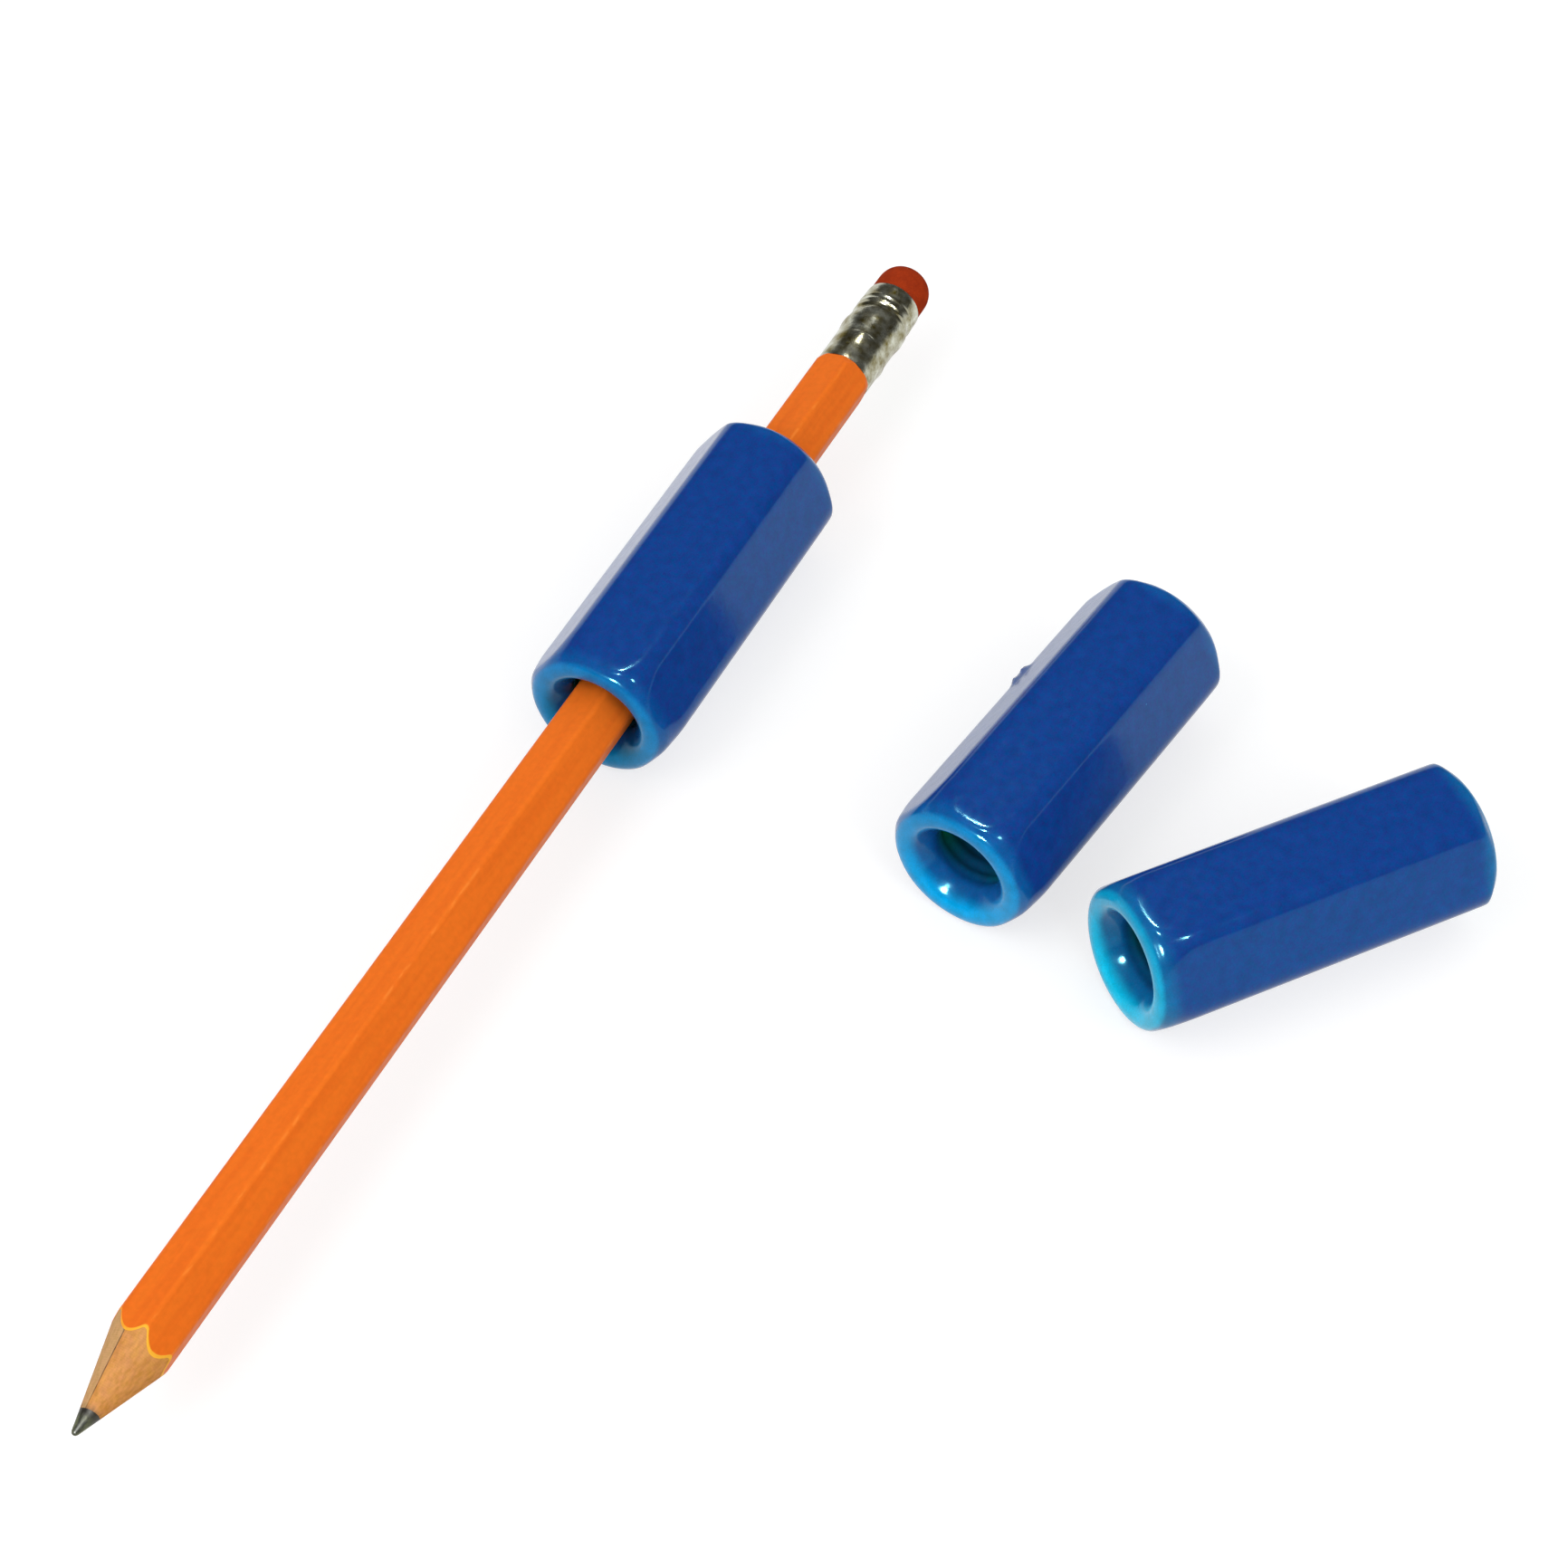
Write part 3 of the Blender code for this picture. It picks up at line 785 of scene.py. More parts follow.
@dataclass(frozen=True)
class GraphiteFinish:
    """Sharpened graphite, its sheen painted as lighter rubbed streaks."""

    dark: Colour = tone(42, 45, 28)
    # Painted sheen: the lighter grey-green of the graphite's highlight, in rubbed streaks.
    rubbed_and_painted_highlight: Colour = tone(100, 105, 70)
    burnt: Colour = tone(40, 34, 26)
    burnt_span: tuple[float, float] = (1.1 * MM, 0.2 * MM)

    def material(self, pencil: "Pencil") -> bpy.types.Material:
        """Make the material.

        Args:
            pencil: The pencil whose core it is for.

        Returns:
            The material.
        """
        finish = Finish("graphite")
        graph = finish.graph
        along = finish.effect(Effect.cone(pencil))[2]
        grain = finish.effect(Effect.streaks(), Along=220.0, Across=1500.0)[0]
        # Lighter streaks: rubbed graphite and its painted sheen.
        colour = graph.blend(graph.graded(grain, 0.38, 0.6, 0.0, 1.0), self.dark, self.rubbed_and_painted_highlight)
        back = pencil.cone_height(pencil.core_radius)
        start, end = (back - step for step in self.burnt_span)
        colour = graph.blend(graph.graded(along, start, end, 0.0, 0.9), colour, self.burnt)
        finish.set(Base_Color=colour, Roughness=finish.mottled(2500.0, 0.34, 0.5), Metallic=0.2)
        finish.bump(grain, 0.00003, 0.6)
        return finish.material


@dataclass(frozen=True)
class FerruleFinish:
    """Thin rolled aluminium, drawn bright, with a faint tarnish in soft patches."""

    bright: Colour = tone(206, 208, 192)
    tarnish: Colour = tone(108, 95, 20)

    def material(self) -> bpy.types.Material:
        """Make the material.

        Returns:
            The material.
        """
        finish = Finish("ferrule_aluminium")
        cloud = finish.mottled(700.0, 0.0, 1.0)
        colour = finish.graph.blend(cloud, self.bright, self.tarnish)
        finish.set(Base_Color=colour, Roughness=finish.mottled(900.0, 0.22, 0.3), Metallic=0.97)
        finish.bump(finish.mottled(900.0, 0.0, 1.0), 0.00006, 0.3)
        return finish.material


@dataclass(frozen=True)
class EraserFinish:
    """Brick-red rubber with a dry, slightly smudged skin."""

    rubber: Colour = tone(172, 54, 8)
    smudge: Colour = tone(152, 45, 6)

    def material(self) -> bpy.types.Material:
        """Make the material.

        Returns:
            The material.
        """
        finish = Finish("brick_eraser")
        cloud = finish.mottled(800.0, 0.0, 1.0)
        colour = finish.graph.blend(cloud, self.rubber, self.smudge)
        colour = finish.graph.scaled(colour, finish.mottled(5200.0, 0.9, 1.1))
        finish.set(Base_Color=colour, Roughness=0.85, Specular_IOR_Level=0.05)
        finish.bump(finish.mottled(4200.0, 0.0, 1.0), 0.00005, 0.6)
        return finish.material


@dataclass(frozen=True)
class SteelFinish:
    """Plain steel of the nut, with its thread in the bare band of the bore."""

    steel: Colour = tone(176, 176, 178)
    oiled: Colour = tone(120, 118, 112)

    def material(self, name: str, yaw: float) -> bpy.types.Material:
        """Make the material for one nut.

        Args:
            name: Its name.
            yaw: How far the nut's bore is turned from X.

        Returns:
            The material.
        """
        finish = Finish(name)
        graph = finish.graph
        along = graph.along(finish.spot, (math.cos(yaw), math.sin(yaw), 0.0))
        thread = graph.math("SINE", graph.math("MULTIPLY", along, 2 * math.pi / THREAD_PITCH))
        cloud = finish.mottled(700.0, 0.0, 1.0)
        finish.set(Base_Color=graph.blend(cloud, self.steel, self.oiled), Metallic=1.0)
        finish.set(Roughness=finish.mottled(1800.0, 0.28, 0.45))
        finish.bump(thread, 0.0002)
        return finish.material


@dataclass(frozen=True)
class Drip:
    """A bead of vinyl that set on one edge of a coat."""

    along: float
    angle: float
    length: float
    height: float


@dataclass
class Weight:
    """One weight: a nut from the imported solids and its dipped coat, modelled here."""

    name: str
    place: tuple[float, float]
    yaw: float
    # The rim tint is thin vinyl plus painted light, set per weight by how its mouth is lit.
    rim: Colour = tone(0, 174, 243)
    drip: Drip | None = None
    across_flats: float = 0.017695
    length: float = 0.0457
    edge_radius: float = 0.0026
    near_edge_radius: float = 0.0055
    far_edge_radius: float = 0.003
    edge_fade: tuple[float, float] = (0.8 * MM, 5.2 * MM)
    near_sharpness: float = 24.0
    far_sharpness: float = 44.0
    bore_radius: float = 0.004478
    nut_bore: float = 0.00542
    nut_length: float = 0.0441
    nut_across: float = 0.01605
    bare_band: float = 0.006
    shoulder: float = 0.0046
    shoulder_slope: float = 1.15
    thread_depth: float = 0.00024
    thread_fade: tuple[float, float] = (3.0 * MM, 4.4 * MM)
    steps: int = 144

    @property
    def axis_height(self) -> float:
        """Height of the bore's axis over the table."""
        return self.across_flats / 2

    def lip_outline(self) -> Outline:
        """Draw the mouth's section from the bore to the shoulder.

        Returns:
            Points as (depth, radius).
        """
        section = [(3.4, 0.0), (2.7, 0.07), (2.0, 0.43), (1.3, 0.93), (0.72, 1.4), (0.3, 1.86)]
        section += [(0.06, 2.34), (0.0, 2.82), (0.05, 3.28), (0.2, 3.72), (0.5, 4.15), (0.85, 4.48)]
        points = [(depth * MM, self.bore_radius + wider * MM) for depth, wider in section]
        return smooth_path(points, 3)

    def half_outline(self) -> list[tuple[float, float, bool]]:
        """Draw one half of the coat's skin from the bare band to the middle.

        Returns:
            Points as (along, radius, pressed), where pressed ones follow the hexagon.
        """
        half, band = self.length / 2, self.bare_band / 2
        lip = self.lip_outline()
        crest = min(range(len(lip)), key=lambda k: lip[k][0])
        rows = [(band, self.nut_bore, False)]
        rows += [(band + 0.05 * MM, self.bore_radius + 0.35 * MM, False)]
        rows += [(band + 0.2 * MM, self.bore_radius + 0.1 * MM, False)]
        start, end = band + 0.45 * MM, half - lip[0][0]
        count = round((end - start) / (THREAD_PITCH / 8))
        lining = [start + (end - start) * k / count for k in range(count)]
        rows += [(along, self.bore_radius, False) for along in lining]
        rows += [(half - depth, radius, k > crest) for k, (depth, radius) in enumerate(lip)]
        depth, radius = lip[-1]
        shoulder_rows, flat_rows = 14, 30
        for k in range(1, shoulder_rows + 1):
            here = depth + (self.shoulder - depth) * (k / shoulder_rows) ** 1.3
            rows.append((half - here, radius + (here - depth) * self.shoulder_slope, True))
        flat, wide = half - self.shoulder, radius + 2 * self.shoulder
        rows += [(flat * (1 - k / flat_rows), wide, True) for k in range(1, flat_rows)]
        return rows

    def cavity_outline(self) -> Outline:
        """Draw the hidden inner wall against the nut, from the near bare edge to the far one.

        Returns:
            Points as (along, radius).
        """
        top, face, bore = self.nut_length / 2, self.nut_across / 2, self.nut_bore
        near = [(-top + 1.2 * MM, bore), (-top, bore + 1.2 * MM)]
        near += [(-top, face - 0.8 * MM), (-top + 2.1 * MM, face)]
        return near + [(-along, radius) for along, radius in reversed(near)]

    def build_coat(self) -> bpy.types.Object:
        """Model the coat: a turned section pressed into a soft hexagon, threaded under its lining.

        Returns:
            The coat, at its place on the table.
        """
        far = self.half_outline()
        near = [(-along, radius, pressed) for along, radius, pressed in reversed(far)]
        middle = [(0.0, far[-1][1], True)]
        cavity = [(along, radius, False) for along, radius in self.cavity_outline()]
        rows = far + middle + near + cavity
        coat = Bench.turned(f"{self.name}_vinyl", [(a, r) for a, r, _ in rows], self.steps)
        self.press(coat, rows, first_cavity=len(rows) - len(cavity))
        Bench.settle(coat, self.matrix())
        Bench.smooth(coat, 50.0)
        return coat

    def press(
        self, coat: bpy.types.Object, rows: list[tuple[float, float, bool]], first_cavity: int,
    ) -> None:
        """Press the turned coat into its hexagon and mark its rims' thin-vinyl tint and painted
        light.

        Args:
            coat: The turned coat.
            rows: The points of its section.
            first_cavity: The number of the section's first inner point.
        """
        spots = Bench.spots(coat)
        station = np.empty(len(spots), dtype=np.int32)
        coat.data.attributes["station"].data.foreach_get("value", station)
        pressed = np.array([row[2] for row in rows])[station]
        hidden = station >= first_cavity
        along = spots[:, 0].copy()
        angle = np.arctan2(spots[:, 1], spots[:, 2])
        radius = np.hypot(spots[:, 1], spots[:, 2])
        depth = self.length / 2 - np.abs(along)
        near = along < 0.0
        mouth_edge = np.where(near, self.near_edge_radius, self.far_edge_radius)
        edge = mouth_edge + (self.edge_radius - mouth_edge) * ramp(depth, *self.edge_fade)
        sharpness = np.where(near, self.near_sharpness, self.far_sharpness)
        outline = soft_smaller(hex_reach(angle, self.across_flats, edge), radius, sharpness)
        reach = np.where(pressed, outline, radius)
        inner = hidden & (np.abs(along) < self.nut_length / 2 - 2.0 * MM)
        inner &= radius > self.nut_across / 2 - 0.1 * MM
        reach = np.where(inner, hex_reach(angle, self.nut_across, 0.2 * MM), reach)
        lining = ~pressed & ~hidden & (depth > self.thread_fade[0])
        lining &= radius < self.bore_radius + 0.05 * MM
        reach = np.where(lining, reach + self.ripple(along, angle, depth), reach)
        if self.drip is not None:
            reach = reach + np.where(pressed, self.drip_height(along, angle, reach), 0.0)
        Bench.reach_to(coat, spots, angle, reach)
        self.mark_rims_and_painted_light(coat, angle, depth, pressed, hidden)

    def ripple(self, along: np.ndarray, angle: np.ndarray, depth: np.ndarray) -> np.ndarray:
        """Measure how far the thread under the lining shows.

        Args:
            along: The points' places along the bore.
            angle: Their angles round it.
            depth: Their distances from the nearer mouth.

        Returns:
            The depths of the ripple.
        """
        turns = 2 * math.pi * along / THREAD_PITCH - angle
        return self.thread_depth * (0.5 - 0.5 * np.cos(turns)) * ramp(depth, *self.thread_fade)

    @staticmethod
    def mark_rims_and_painted_light(
        coat: bpy.types.Object, angle: np.ndarray, depth: np.ndarray,
        pressed: np.ndarray, hidden: np.ndarray,
    ) -> None:
        """Mark the rims' lighter tint, which is thin vinyl and painted light, and the painted shade
        deep in the bore.

        Args:
            coat: The pressed coat.
            angle: Its points' angles round the bore.
            depth: Their distances from the nearer mouth.
            pressed: Which of them follow the hexagon.
            hidden: Which of them lie against the nut.
        """
        high, low = np.clip(np.cos(angle), 0.0, 1.0), np.clip(-np.cos(angle), 0.0, 1.0)
        # Outside, the thin-vinyl tint and painted rim light fade from the crest over the shoulder.
        outside = 1.0 - 0.75 * ramp(depth, 0.15 * MM, 0.8 * MM)
        outside = outside - 0.25 * ramp(depth, 0.6 * MM, 3.0 * MM)
        # Inside, the tint fades more slowly at the bottom of the mouth, as painted light on the lit
        # lower wall, and keeps a faint painted-light tail deeper in.
        inside = 1.0 - 0.8 * ramp(depth / (1.0 + low), 0.05 * MM, 0.9 * MM)
        inside = inside - 0.2 * ramp(depth, 1.0 * MM, 6.0 * MM)
        rim = np.where(pressed, outside, np.where(hidden, 0.0, inside))
        # Painted light: the rim tint is lighter towards the bottom of each mouth and darker towards
        # its top.
        rim *= 0.78 + 0.22 * low - 0.25 * high
        # Painted shade deep in the bore, weaker on its lower wall.
        deep = np.where(pressed, 0.0, ramp(depth, 2.6 * MM, 5.0 * MM) * (1.0 - 0.75 * low))
        for name, values in (("rim", rim), ("deep", deep)):
            attribute = coat.data.attributes.new(name, "FLOAT", "POINT")
            attribute.data.foreach_set("value", values.astype(np.float32))
        coat.data.update()

    def drip_height(
        self, along: np.ndarray, angle: np.ndarray, reach: np.ndarray,
    ) -> np.ndarray:
        """Measure how far the drip raises each point.

        Args:
            along: The points' places along the bore.
            angle: Their angles round it.
            reach: Their distances from it.

        Returns:
            The heights.
        """
        drip = self.drip
        share = (along - drip.along) / drip.length
        aside = (angle - drip.angle) * reach / (0.5 * MM)
        waist = 1.0 - 0.55 * np.exp(-((share + 0.05) / 0.12) ** 2)
        return drip.height * np.exp(-((2 * share) ** 6)) * np.exp(-(aside**2)) * waist

    def matrix(self) -> Matrix:
        """Return the coat's place: its middle on the bore's axis."""
        spot = Matrix.Translation((*self.place, self.axis_height))
        return spot @ Matrix.Rotation(self.yaw, 4, "Z")

    def dress(self, frame: dict[str, Any]) -> list[bpy.types.Object]:
        """Build the coat, give coat and nut their finishes and set them on their body.

        Args:
            frame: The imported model.

        Returns:
            The new pieces.
        """
        coat = self.build_coat()
        coat.data.materials.append(VinylFinish(rim=self.rim).material(f"{self.name}_blue_vinyl"))
        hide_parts(f"{self.name}_coat")
        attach(coat, self.name)
        nut = frame["nodes"][f"{self.name}_nut"]
        nut.data.materials.clear()
        nut.data.materials.append(SteelFinish().material(f"{self.name}_steel", self.yaw))
        return [coat]


@dataclass
class Pencil:
    """The pencil: two cedar slats round a graphite core, lacquer, ferrule and eraser."""

    point_at: float = -0.130158
    length: float = 0.1934
    axis_height: float = 0.0088475
    across_flats: float = 0.00745
    ridge_radius: float = 0.0008
    lacquer: float = 0.00008
    core_radius: float = 0.00115
    askew: tuple[float, float] = (-0.034, 0.002)
    offset: tuple[float, float] = (0.00014, 0.0)
    worn_end: float = 0.00386
    worn_slope: float = 0.3
    half_angle: float = math.radians(16.9)
    point_radius: float = 0.00035
    ridge_lean: float = math.radians(12.7)
    ferrule_start: float = 0.042742
    ferrule_length: float = 0.015
    ferrule_radius: float = 0.00383
    ferrule_wall: float = 0.00025
    eraser_radius: float = 0.00363
    eraser_exposed: float = 0.0055
    tenon_length: float = 0.0082
    tenon_radius: float = 0.00328
    cutter_reach: float = 0.02
    steps: int = 128

    @property
    def ridge_reach(self) -> float:
        """Distance from the axis to the top of a ridge."""
        centre = (self.across_flats / 2 - self.ridge_radius) / math.cos(HALF_SECTOR)
        return centre + self.ridge_radius

    @property
    def seam_normal(self) -> Vector:
        """The left side of the glue seam, which runs through the middle of the left upper flat."""
        turn = HALF_SECTOR - self.ridge_lean
        return Vector((0.0, math.cos(turn), -math.sin(turn)))

    def cone_height(self, radius: float) -> float:
        """Return how far from the point the sharpened cone has this radius."""
        return (radius - self.point_radius) / math.tan(self.half_angle)

    def matrix(self, roll: bool) -> Matrix:
        """Return the place of a piece whose point is at x = 0, rolled with the ridges or not."""
        spot = Matrix.Translation((self.point_at, 0.0, self.axis_height))
        return spot @ Matrix.Rotation(self.ridge_lean - HALF_SECTOR if roll else 0.0, 4, "X")

    @property
    def barrel_end(self) -> float:
        """Where the lacquered barrel meets the ferrule, from the point."""
        return self.ferrule_start - self.point_at - 0.05 * MM

    def sharpener(self) -> bpy.types.Object:
        """Add the solid that sharpening leaves: a blunted cone, a little askew to the barrel.

        Returns:
            The closed cutter.
        """
        nose = [(0.0, 0.0), (0.03 * MM, 0.16 * MM), (0.12 * MM, 0.29 * MM), (0.3 * MM, 0.41 * MM)]
        wide, end = self.cutter_reach, 2 * self.length
        outline = smooth_path(nose, 3) + [(self.cone_height(wide), wide), (end, wide), (end, 0.0)]
        cutter = Bench.turned("sharpener", outline, self.steps, closed=False)
        lean = Vector((1.0, *self.askew)).to_track_quat("X", "Z").to_matrix().to_4x4()
        place = self.matrix(roll=False) @ Matrix.Translation((0.0, *self.offset))
        Bench.settle(cutter, place @ lean)
        return cutter

    def barrel_bar(self, name: str, inset: float, rear: float) -> bpy.types.Object:
        """Add a bar inside the barrel's surface, with its ridges worn down before the ferrule.

        Args:
            name: The piece's name.
            inset: How far it lies under the surface.
            rear: Its end, from the point.

        Returns:
            The bar, at its place.
        """
        span = (-5 * MM, rear)
        bar = Bench.hex_bar(name, self.across_flats - 2 * inset, span, self.ridge_radius - inset)
        wide, worn = self.cutter_reach, self.worn_end - inset
        taper = self.barrel_end - (wide - worn) / self.worn_slope
        outline = [(-6 * MM, 0.0), (-6 * MM, wide), (taper, wide)]
        outline += [(self.barrel_end, worn), (rear + MM, worn), (rear + MM, 0.0)]
        cutter = Bench.turned("worn_ridges", outline, self.steps, closed=False)
        Bench.cut(bar, cutter, Cut.KEEP_SHARED)
        Bench.settle(bar, self.matrix(roll=True))
        return bar

    def build_graphite(self) -> bpy.types.Object:
        """Model the graphite rod with its blunted point.

        Returns:
            The rod.
        """
        end, radius = self.barrel_end + self.tenon_length, self.core_radius
        outline = [(-5 * MM, 0.0), (-5 * MM, radius), (end, radius), (end, 0.0)]
        core = Bench.turned("graphite_lead", outline, self.steps, closed=False)
        Bench.settle(core, self.matrix(roll=False))
        Bench.cut(core, self.sharpener(), Cut.KEEP_SHARED)
        Bench.smooth(core, 16.0)
        return core

    def build_slat(self, side: Side) -> bpy.types.Object:
        """Model one cedar slat, grooved for the core and sharpened.

        Args:
            side: The side of the glue seam.

        Returns:
            The slat.
        """
        name = f"cedar_{side.name.lower()}"
        groove, tenon, wide = self.core_radius + 0.01 * MM, self.tenon_radius, self.cutter_reach
        step, end = self.barrel_end, self.barrel_end + self.tenon_length
        slat = self.barrel_bar(name, self.lacquer + 0.01 * MM, end + 2 * MM)
        outline = [(-8 * MM, groove), (-8 * MM, wide), (step, wide), (step, tenon)]
        outline += [(end, tenon), (end, groove)]
        tube = Bench.turned("slat_section", outline, self.steps)
        Bench.settle(tube, self.matrix(roll=False))
        Bench.cut(slat, tube, Cut.KEEP_SHARED)
        Bench.cut(slat, self.sharpener(), Cut.KEEP_SHARED)
        normal = self.seam_normal * side.value
        middle = Vector((0.0, 0.0, self.axis_height)) + normal * 0.03 * MM
        Bench.halve(slat, tuple(middle), normal)
        Bench.smooth(slat, 9.0)
        return slat

    def build_lacquer(self) -> bpy.types.Object:
        """Model the lacquer skin with its scalloped front edge.

        Returns:
            The skin.
        """
        skin = self.barrel_bar("barrel_lacquer_skin", 0.0, self.barrel_end)
        hollow = self.barrel_bar("hollow", self.lacquer, self.barrel_end + MM)
        Bench.cut(skin, hollow, Cut.TAKE_AWAY)
        Bench.cut(skin, self.sharpener(), Cut.KEEP_SHARED)
        Bench.smooth(skin, 9.0)
        return skin

    def ferrule_swell(self, along: np.ndarray, angle: np.ndarray) -> np.ndarray:
        """Measure how far the ferrule stands out from a plain tube.

        Args:
            along: Distances from its front edge.
            angle: Angles from the top, towards the left.

        Returns:
            The swell at each point.
        """

        def hump(centre: Any, width: float) -> np.ndarray:
            """Return a smooth hump about a place along the ferrule."""
            return np.exp(-(((along - centre) / width) ** 2))

        side = np.sin(angle)
        bead = 8.9 * MM - 1.0 * MM * side
        swell = 0.24 * MM * (0.25 + 0.75 * side**2) * hump(bead, 1.1 * MM)
        swell -= 0.16 * MM * hump(bead + 2.0 * MM, 0.45 * MM)
        for rib in range(3):
            swell += 0.07 * MM * hump(self.ferrule_length - (2.3 + 0.93 * rib) * MM, 0.22 * MM)
        tongue = ramp(along, 2.6 * MM, 4.9 * MM) * (1 - ramp(along, 4.9 * MM, 5.3 * MM))
        for turn in (-0.14, 1.95, 4.05):
            away = (angle - turn + math.pi) % (2 * math.pi) - math.pi
            swell += 0.3 * MM * tongue * np.exp(-((away / 0.3) ** 2))
        return swell - 0.05 * MM * (hump(0.0, 0.4 * MM) + hump(self.ferrule_length, 0.3 * MM))

    def build_ferrule(self) -> bpy.types.Object:
        """Model the ferrule: a thin sleeve with a bead, a crease, ribs and punched tongues.

        Returns:
            The ferrule.
        """
        rows = 160
        places = [self.ferrule_length * k / rows for k in range(rows + 1)]
        outside = [(place, self.ferrule_radius) for place in places]
        inside = [(place, self.ferrule_radius - self.ferrule_wall) for place in reversed(places)]
        ferrule = Bench.turned("ferrule_sleeve", outside + inside, self.steps)
        spots = Bench.spots(ferrule)
        angle = np.arctan2(spots[:, 1], spots[:, 2])
        reach = np.hypot(spots[:, 1], spots[:, 2]) + self.ferrule_swell(spots[:, 0], angle)
        Bench.reach_to(ferrule, spots, angle, reach)
        Bench.settle(ferrule, Matrix.Translation((self.ferrule_start, 0.0, self.axis_height)))
        Bench.smooth(ferrule, 35.0)
        return ferrule

    def build_eraser(self) -> bpy.types.Object:
        """Model the eraser plug with its soft round end.

        Returns:
            The eraser.
        """
        rear = self.ferrule_start + self.ferrule_length
        end, radius, plug = rear + self.eraser_exposed, self.eraser_radius, self.tenon_radius
        lip = rear + 0.1 * MM
        dome = [(lip, radius - 0.1 * MM), (rear + 0.5 * MM, radius), (end - 3.0 * MM, radius)]
        dome_rows = 12
        for k in range(1, dome_rows + 1):
            angle = math.pi / 2 * k / dome_rows
            along = end - 2.8 * MM * (1 - math.sin(angle) ** 0.95)
            dome.append((along, radius - 2.4 * MM * (1 - math.cos(angle) ** 0.9)))
        start = rear - 6.1 * MM
        outline = [(start, 0.0), (start, plug), (lip, plug), *dome, (end + 0.02 * MM, 0.0)]
        eraser = Bench.turned("eraser_plug", outline, self.steps, closed=False)
        Bench.settle(eraser, Matrix.Translation((0.0, 0.0, self.axis_height)))
        Bench.smooth(eraser, 40.0)
        return eraser

    def dress(self) -> list[bpy.types.Object]:
        """Build the pencil's pieces, give them their finishes and set them on the pencil's body.

        Returns:
            The new pieces.
        """
        cedar = CedarFinish()
        pale = CedarFinish(
            pale=tone(210, 164, 105), warm=tone(194, 147, 85), rosy=tone(202, 147, 106),
        )
        graphite = GraphiteFinish().material(self)
        pieces = [
            (self.build_graphite(), "graphite_core", Slot.GRAPHITE, graphite),
            (
                self.build_slat(Side.LEFT), "cedar_slat_left", Slot.CEDAR,
                pale.material("cedar_pale", self),
            ),
            (
                self.build_slat(Side.RIGHT), "cedar_slat_right", Slot.CEDAR,
                cedar.material("cedar", self),
            ),
            (self.build_lacquer(), "barrel_lacquer", Slot.LACQUER, LacquerFinish().material(self)),
            (self.build_ferrule(), "ferrule", Slot.FERRULE, FerruleFinish().material()),
            (self.build_eraser(), "eraser", Slot.ERASER, EraserFinish().material()),
        ]
        for piece, node, slot, material in pieces:
            piece.data.materials.clear()
            piece.data.materials.append(material)
            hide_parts(node)
            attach(piece, "pencil")
        return [piece for piece, *_ in pieces]


@dataclass(frozen=True)
class Lamp:
    """One area lamp of the studio."""

    name: str
    spot: Point
    size: float
    power: float
    mirrored: bool = False

    def place(self, target: Point) -> None:
        """Add the lamp.

        Args:
            target: The point that it faces.
        """
        data = bpy.data.lights.new(self.name, "AREA")
        data.shape = "DISK"
        data.size = self.size
        data.energy = self.power
        lamp = bpy.data.objects.new(self.name, data)
        lamp.visible_glossy = self.mirrored
        lamp.visible_diffuse = not self.mirrored
        lamp.location = self.spot
        facing = Vector(target) - Vector(self.spot)
        lamp.rotation_euler = facing.to_track_quat("-Z", "Y").to_euler()
        bpy.context.scene.collection.objects.link(lamp)


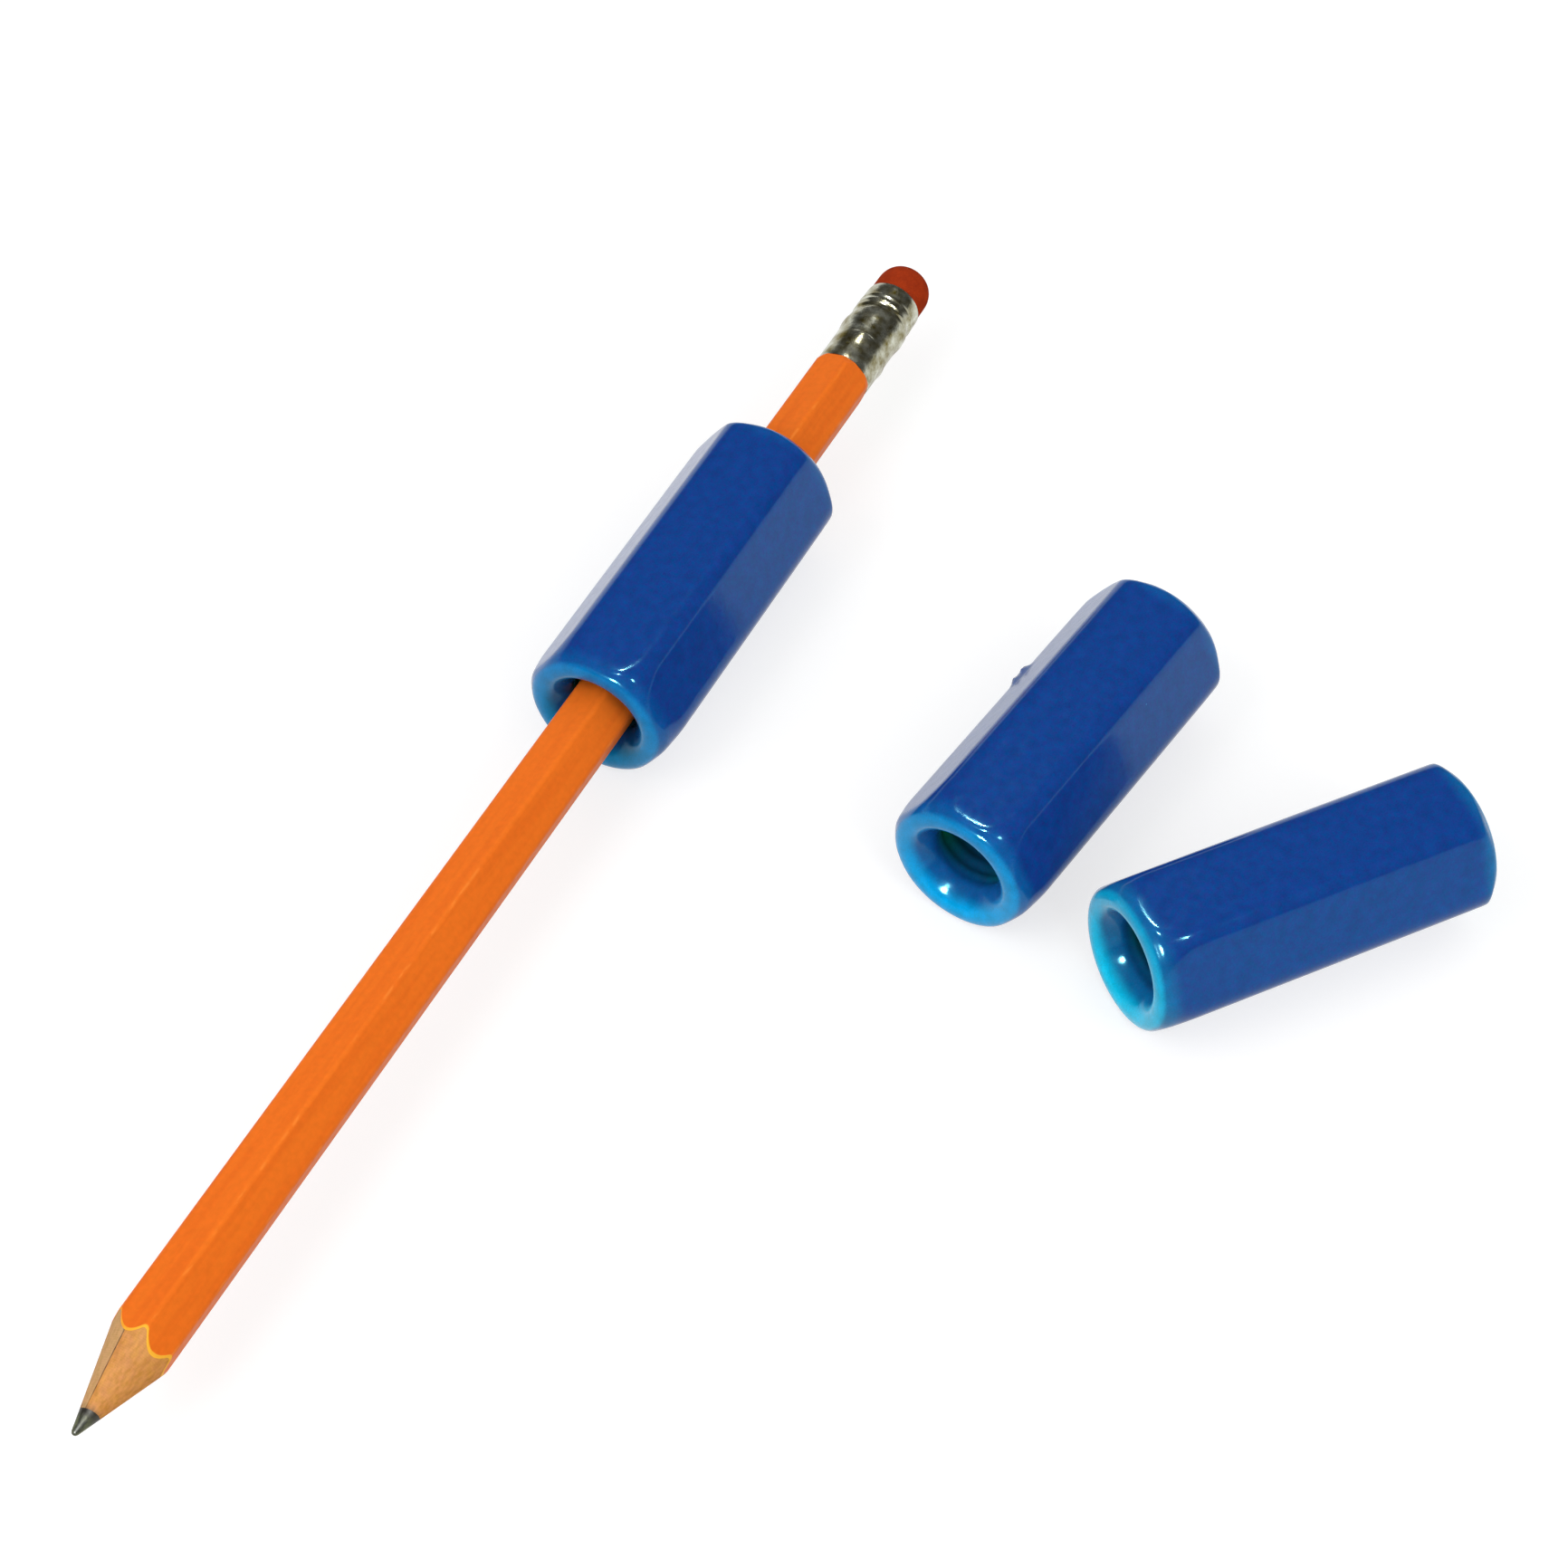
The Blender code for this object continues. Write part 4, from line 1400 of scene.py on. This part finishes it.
@dataclass
class Studio:
    """Camera, lamps, pale table and white surround."""

    target: Point = (-0.02, -0.04, 0.01)
    lens: float = 79.928
    sensor: float = 36.0
    eye: Point = (-0.250676, -0.120169, 0.333009)
    right: Point = (0.458911, -0.886171, 0.064044)
    up: Point = (0.686781, 0.399538, 0.607207)
    forward: Point = (0.563678, 0.23467, -0.791958)
    ambient: float = 0.66
    ceiling: float = 0.035
    horizon: tuple[float, float] = (0.05, 0.2)
    table: float = 0.42
    table_size: float = 6.0
    glow: float = 0.68

    def add_camera(self) -> None:
        """Add the camera at the photograph's viewpoint."""
        data = bpy.data.cameras.new("photo_camera")
        data.lens = self.lens
        data.sensor_width = self.sensor
        data.clip_start = 0.01
        data.clip_end = 20.0
        camera = bpy.data.objects.new("photo_camera", data)
        axes = Matrix((self.right, self.up, -Vector(self.forward))).transposed().to_4x4()
        camera.matrix_world = Matrix.Translation(self.eye) @ axes
        bpy.context.scene.collection.objects.link(camera)
        bpy.context.scene.camera = camera

    def add_lamps(self) -> None:
        """Add the soft key, the fill and the lamps that the coats mirror as dots."""
        lamps = [
            Lamp("key", (-0.42, 0.3, 0.5), 0.5, 1.62),
            Lamp("fill", (-0.25, -0.6, 0.5), 0.5, 1.55),
            Lamp("spark_high", (-0.074, 0.014, 0.91), 0.06, 4.2, mirrored=True),
            Lamp("spark_back", (0.34, 0.113, 0.83), 0.05, 2.9, mirrored=True),
            Lamp("spark_front", (-0.58, -0.05, 0.48), 0.16, 13.5, mirrored=True),
            Lamp("spark_side", (-0.063, -0.45, 0.8), 0.08, 3.2, mirrored=True),
        ]
        for lamp in lamps:
            lamp.place(self.target)

    @staticmethod
    def seen(graph: Graph) -> bpy.types.NodeSocket:
        """Tell the camera's own, mirrored and refracted rays from the rest.

        Args:
            graph: The graph that asks.

        Returns:
            1 for those rays, 0 for the rest.
        """
        path = graph.add("ShaderNodeLightPath").outputs
        direct = graph.math("MAXIMUM", path["Is Camera Ray"], path["Is Glossy Ray"])
        return graph.math("MAXIMUM", direct, path["Is Transmission Ray"])

    def add_surround(self) -> None:
        """Add a surround that is white about the horizon and dim overhead."""
        world = bpy.data.worlds.new("white_surround")
        world.use_nodes = True
        bpy.context.scene.world = world
        graph = Graph(world.node_tree)
        background = world.node_tree.nodes["Background"]
        direction = graph.add("ShaderNodeTexCoord").outputs["Generated"]
        height = graph.add("ShaderNodeSeparateXYZ", {0: direction}).outputs[2]
        dimmed = graph.graded(height, *self.horizon, 1.0, self.ceiling)
        levels = {0: self.seen(graph), 2: self.ambient, 3: dimmed}
        graph.feed(background.inputs["Color"], WHITE)
        graph.feed(background.inputs["Strength"], graph.add("ShaderNodeMix", levels).outputs[0])

    def add_table(self) -> None:
        """Add the plain pale table, a little lifted towards white where it is seen."""
        Bench.clear()
        bpy.ops.mesh.primitive_plane_add(size=self.table_size, location=(0.0, 0.0, -0.02 * MM))
        table = bpy.context.object
        table.name = "table"
        bpy.ops.object.transform_apply(location=True, rotation=True, scale=True)
        finish = Finish("white_table")
        graph = finish.graph
        shade = (self.table, self.table, self.table, 1.0)
        finish.set(Base_Color=shade, Roughness=0.9, Specular_IOR_Level=0.0, Emission_Color=WHITE)
        finish.set(Emission_Strength=graph.math("MULTIPLY", self.seen(graph), self.glow))
        table.data.materials.append(finish.material)

    def build(self) -> None:
        """Set up the view, the light and the table."""
        bpy.context.scene.view_settings.view_transform = "Standard"
        self.add_camera()
        self.add_lamps()
        self.add_surround()
        self.add_table()


def main() -> None:
    """Build the set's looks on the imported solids."""
    logging.basicConfig(level=logging.INFO, format="%(message)s")
    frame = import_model()
    drip = Drip(along=5.95 * MM, angle=math.radians(82.0), length=3.6 * MM, height=0.55 * MM)
    weights = [
        # Painted light in the rim tints: the mounted weight's is darker as painted shade under the
        # pencil, loose_weight_b's lighter.
        Weight("mounted_weight", (0.0, 0.0), 0.0, rim=tone(0, 148, 216)),
        Weight("loose_weight_a", (0.0011, -0.0503), math.radians(-7.8), drip=drip),
        Weight("loose_weight_b", (-0.0048, -0.0829), math.radians(-36.5), rim=tone(10, 212, 255)),
    ]
    Studio().build()
    pieces = Pencil().dress()
    for weight in weights:
        pieces += weight.dress(frame)
    for piece in pieces:
        LOG.info("%s: %d faces", piece.name, len(piece.data.polygons))


if __name__ == "__main__":
    main()
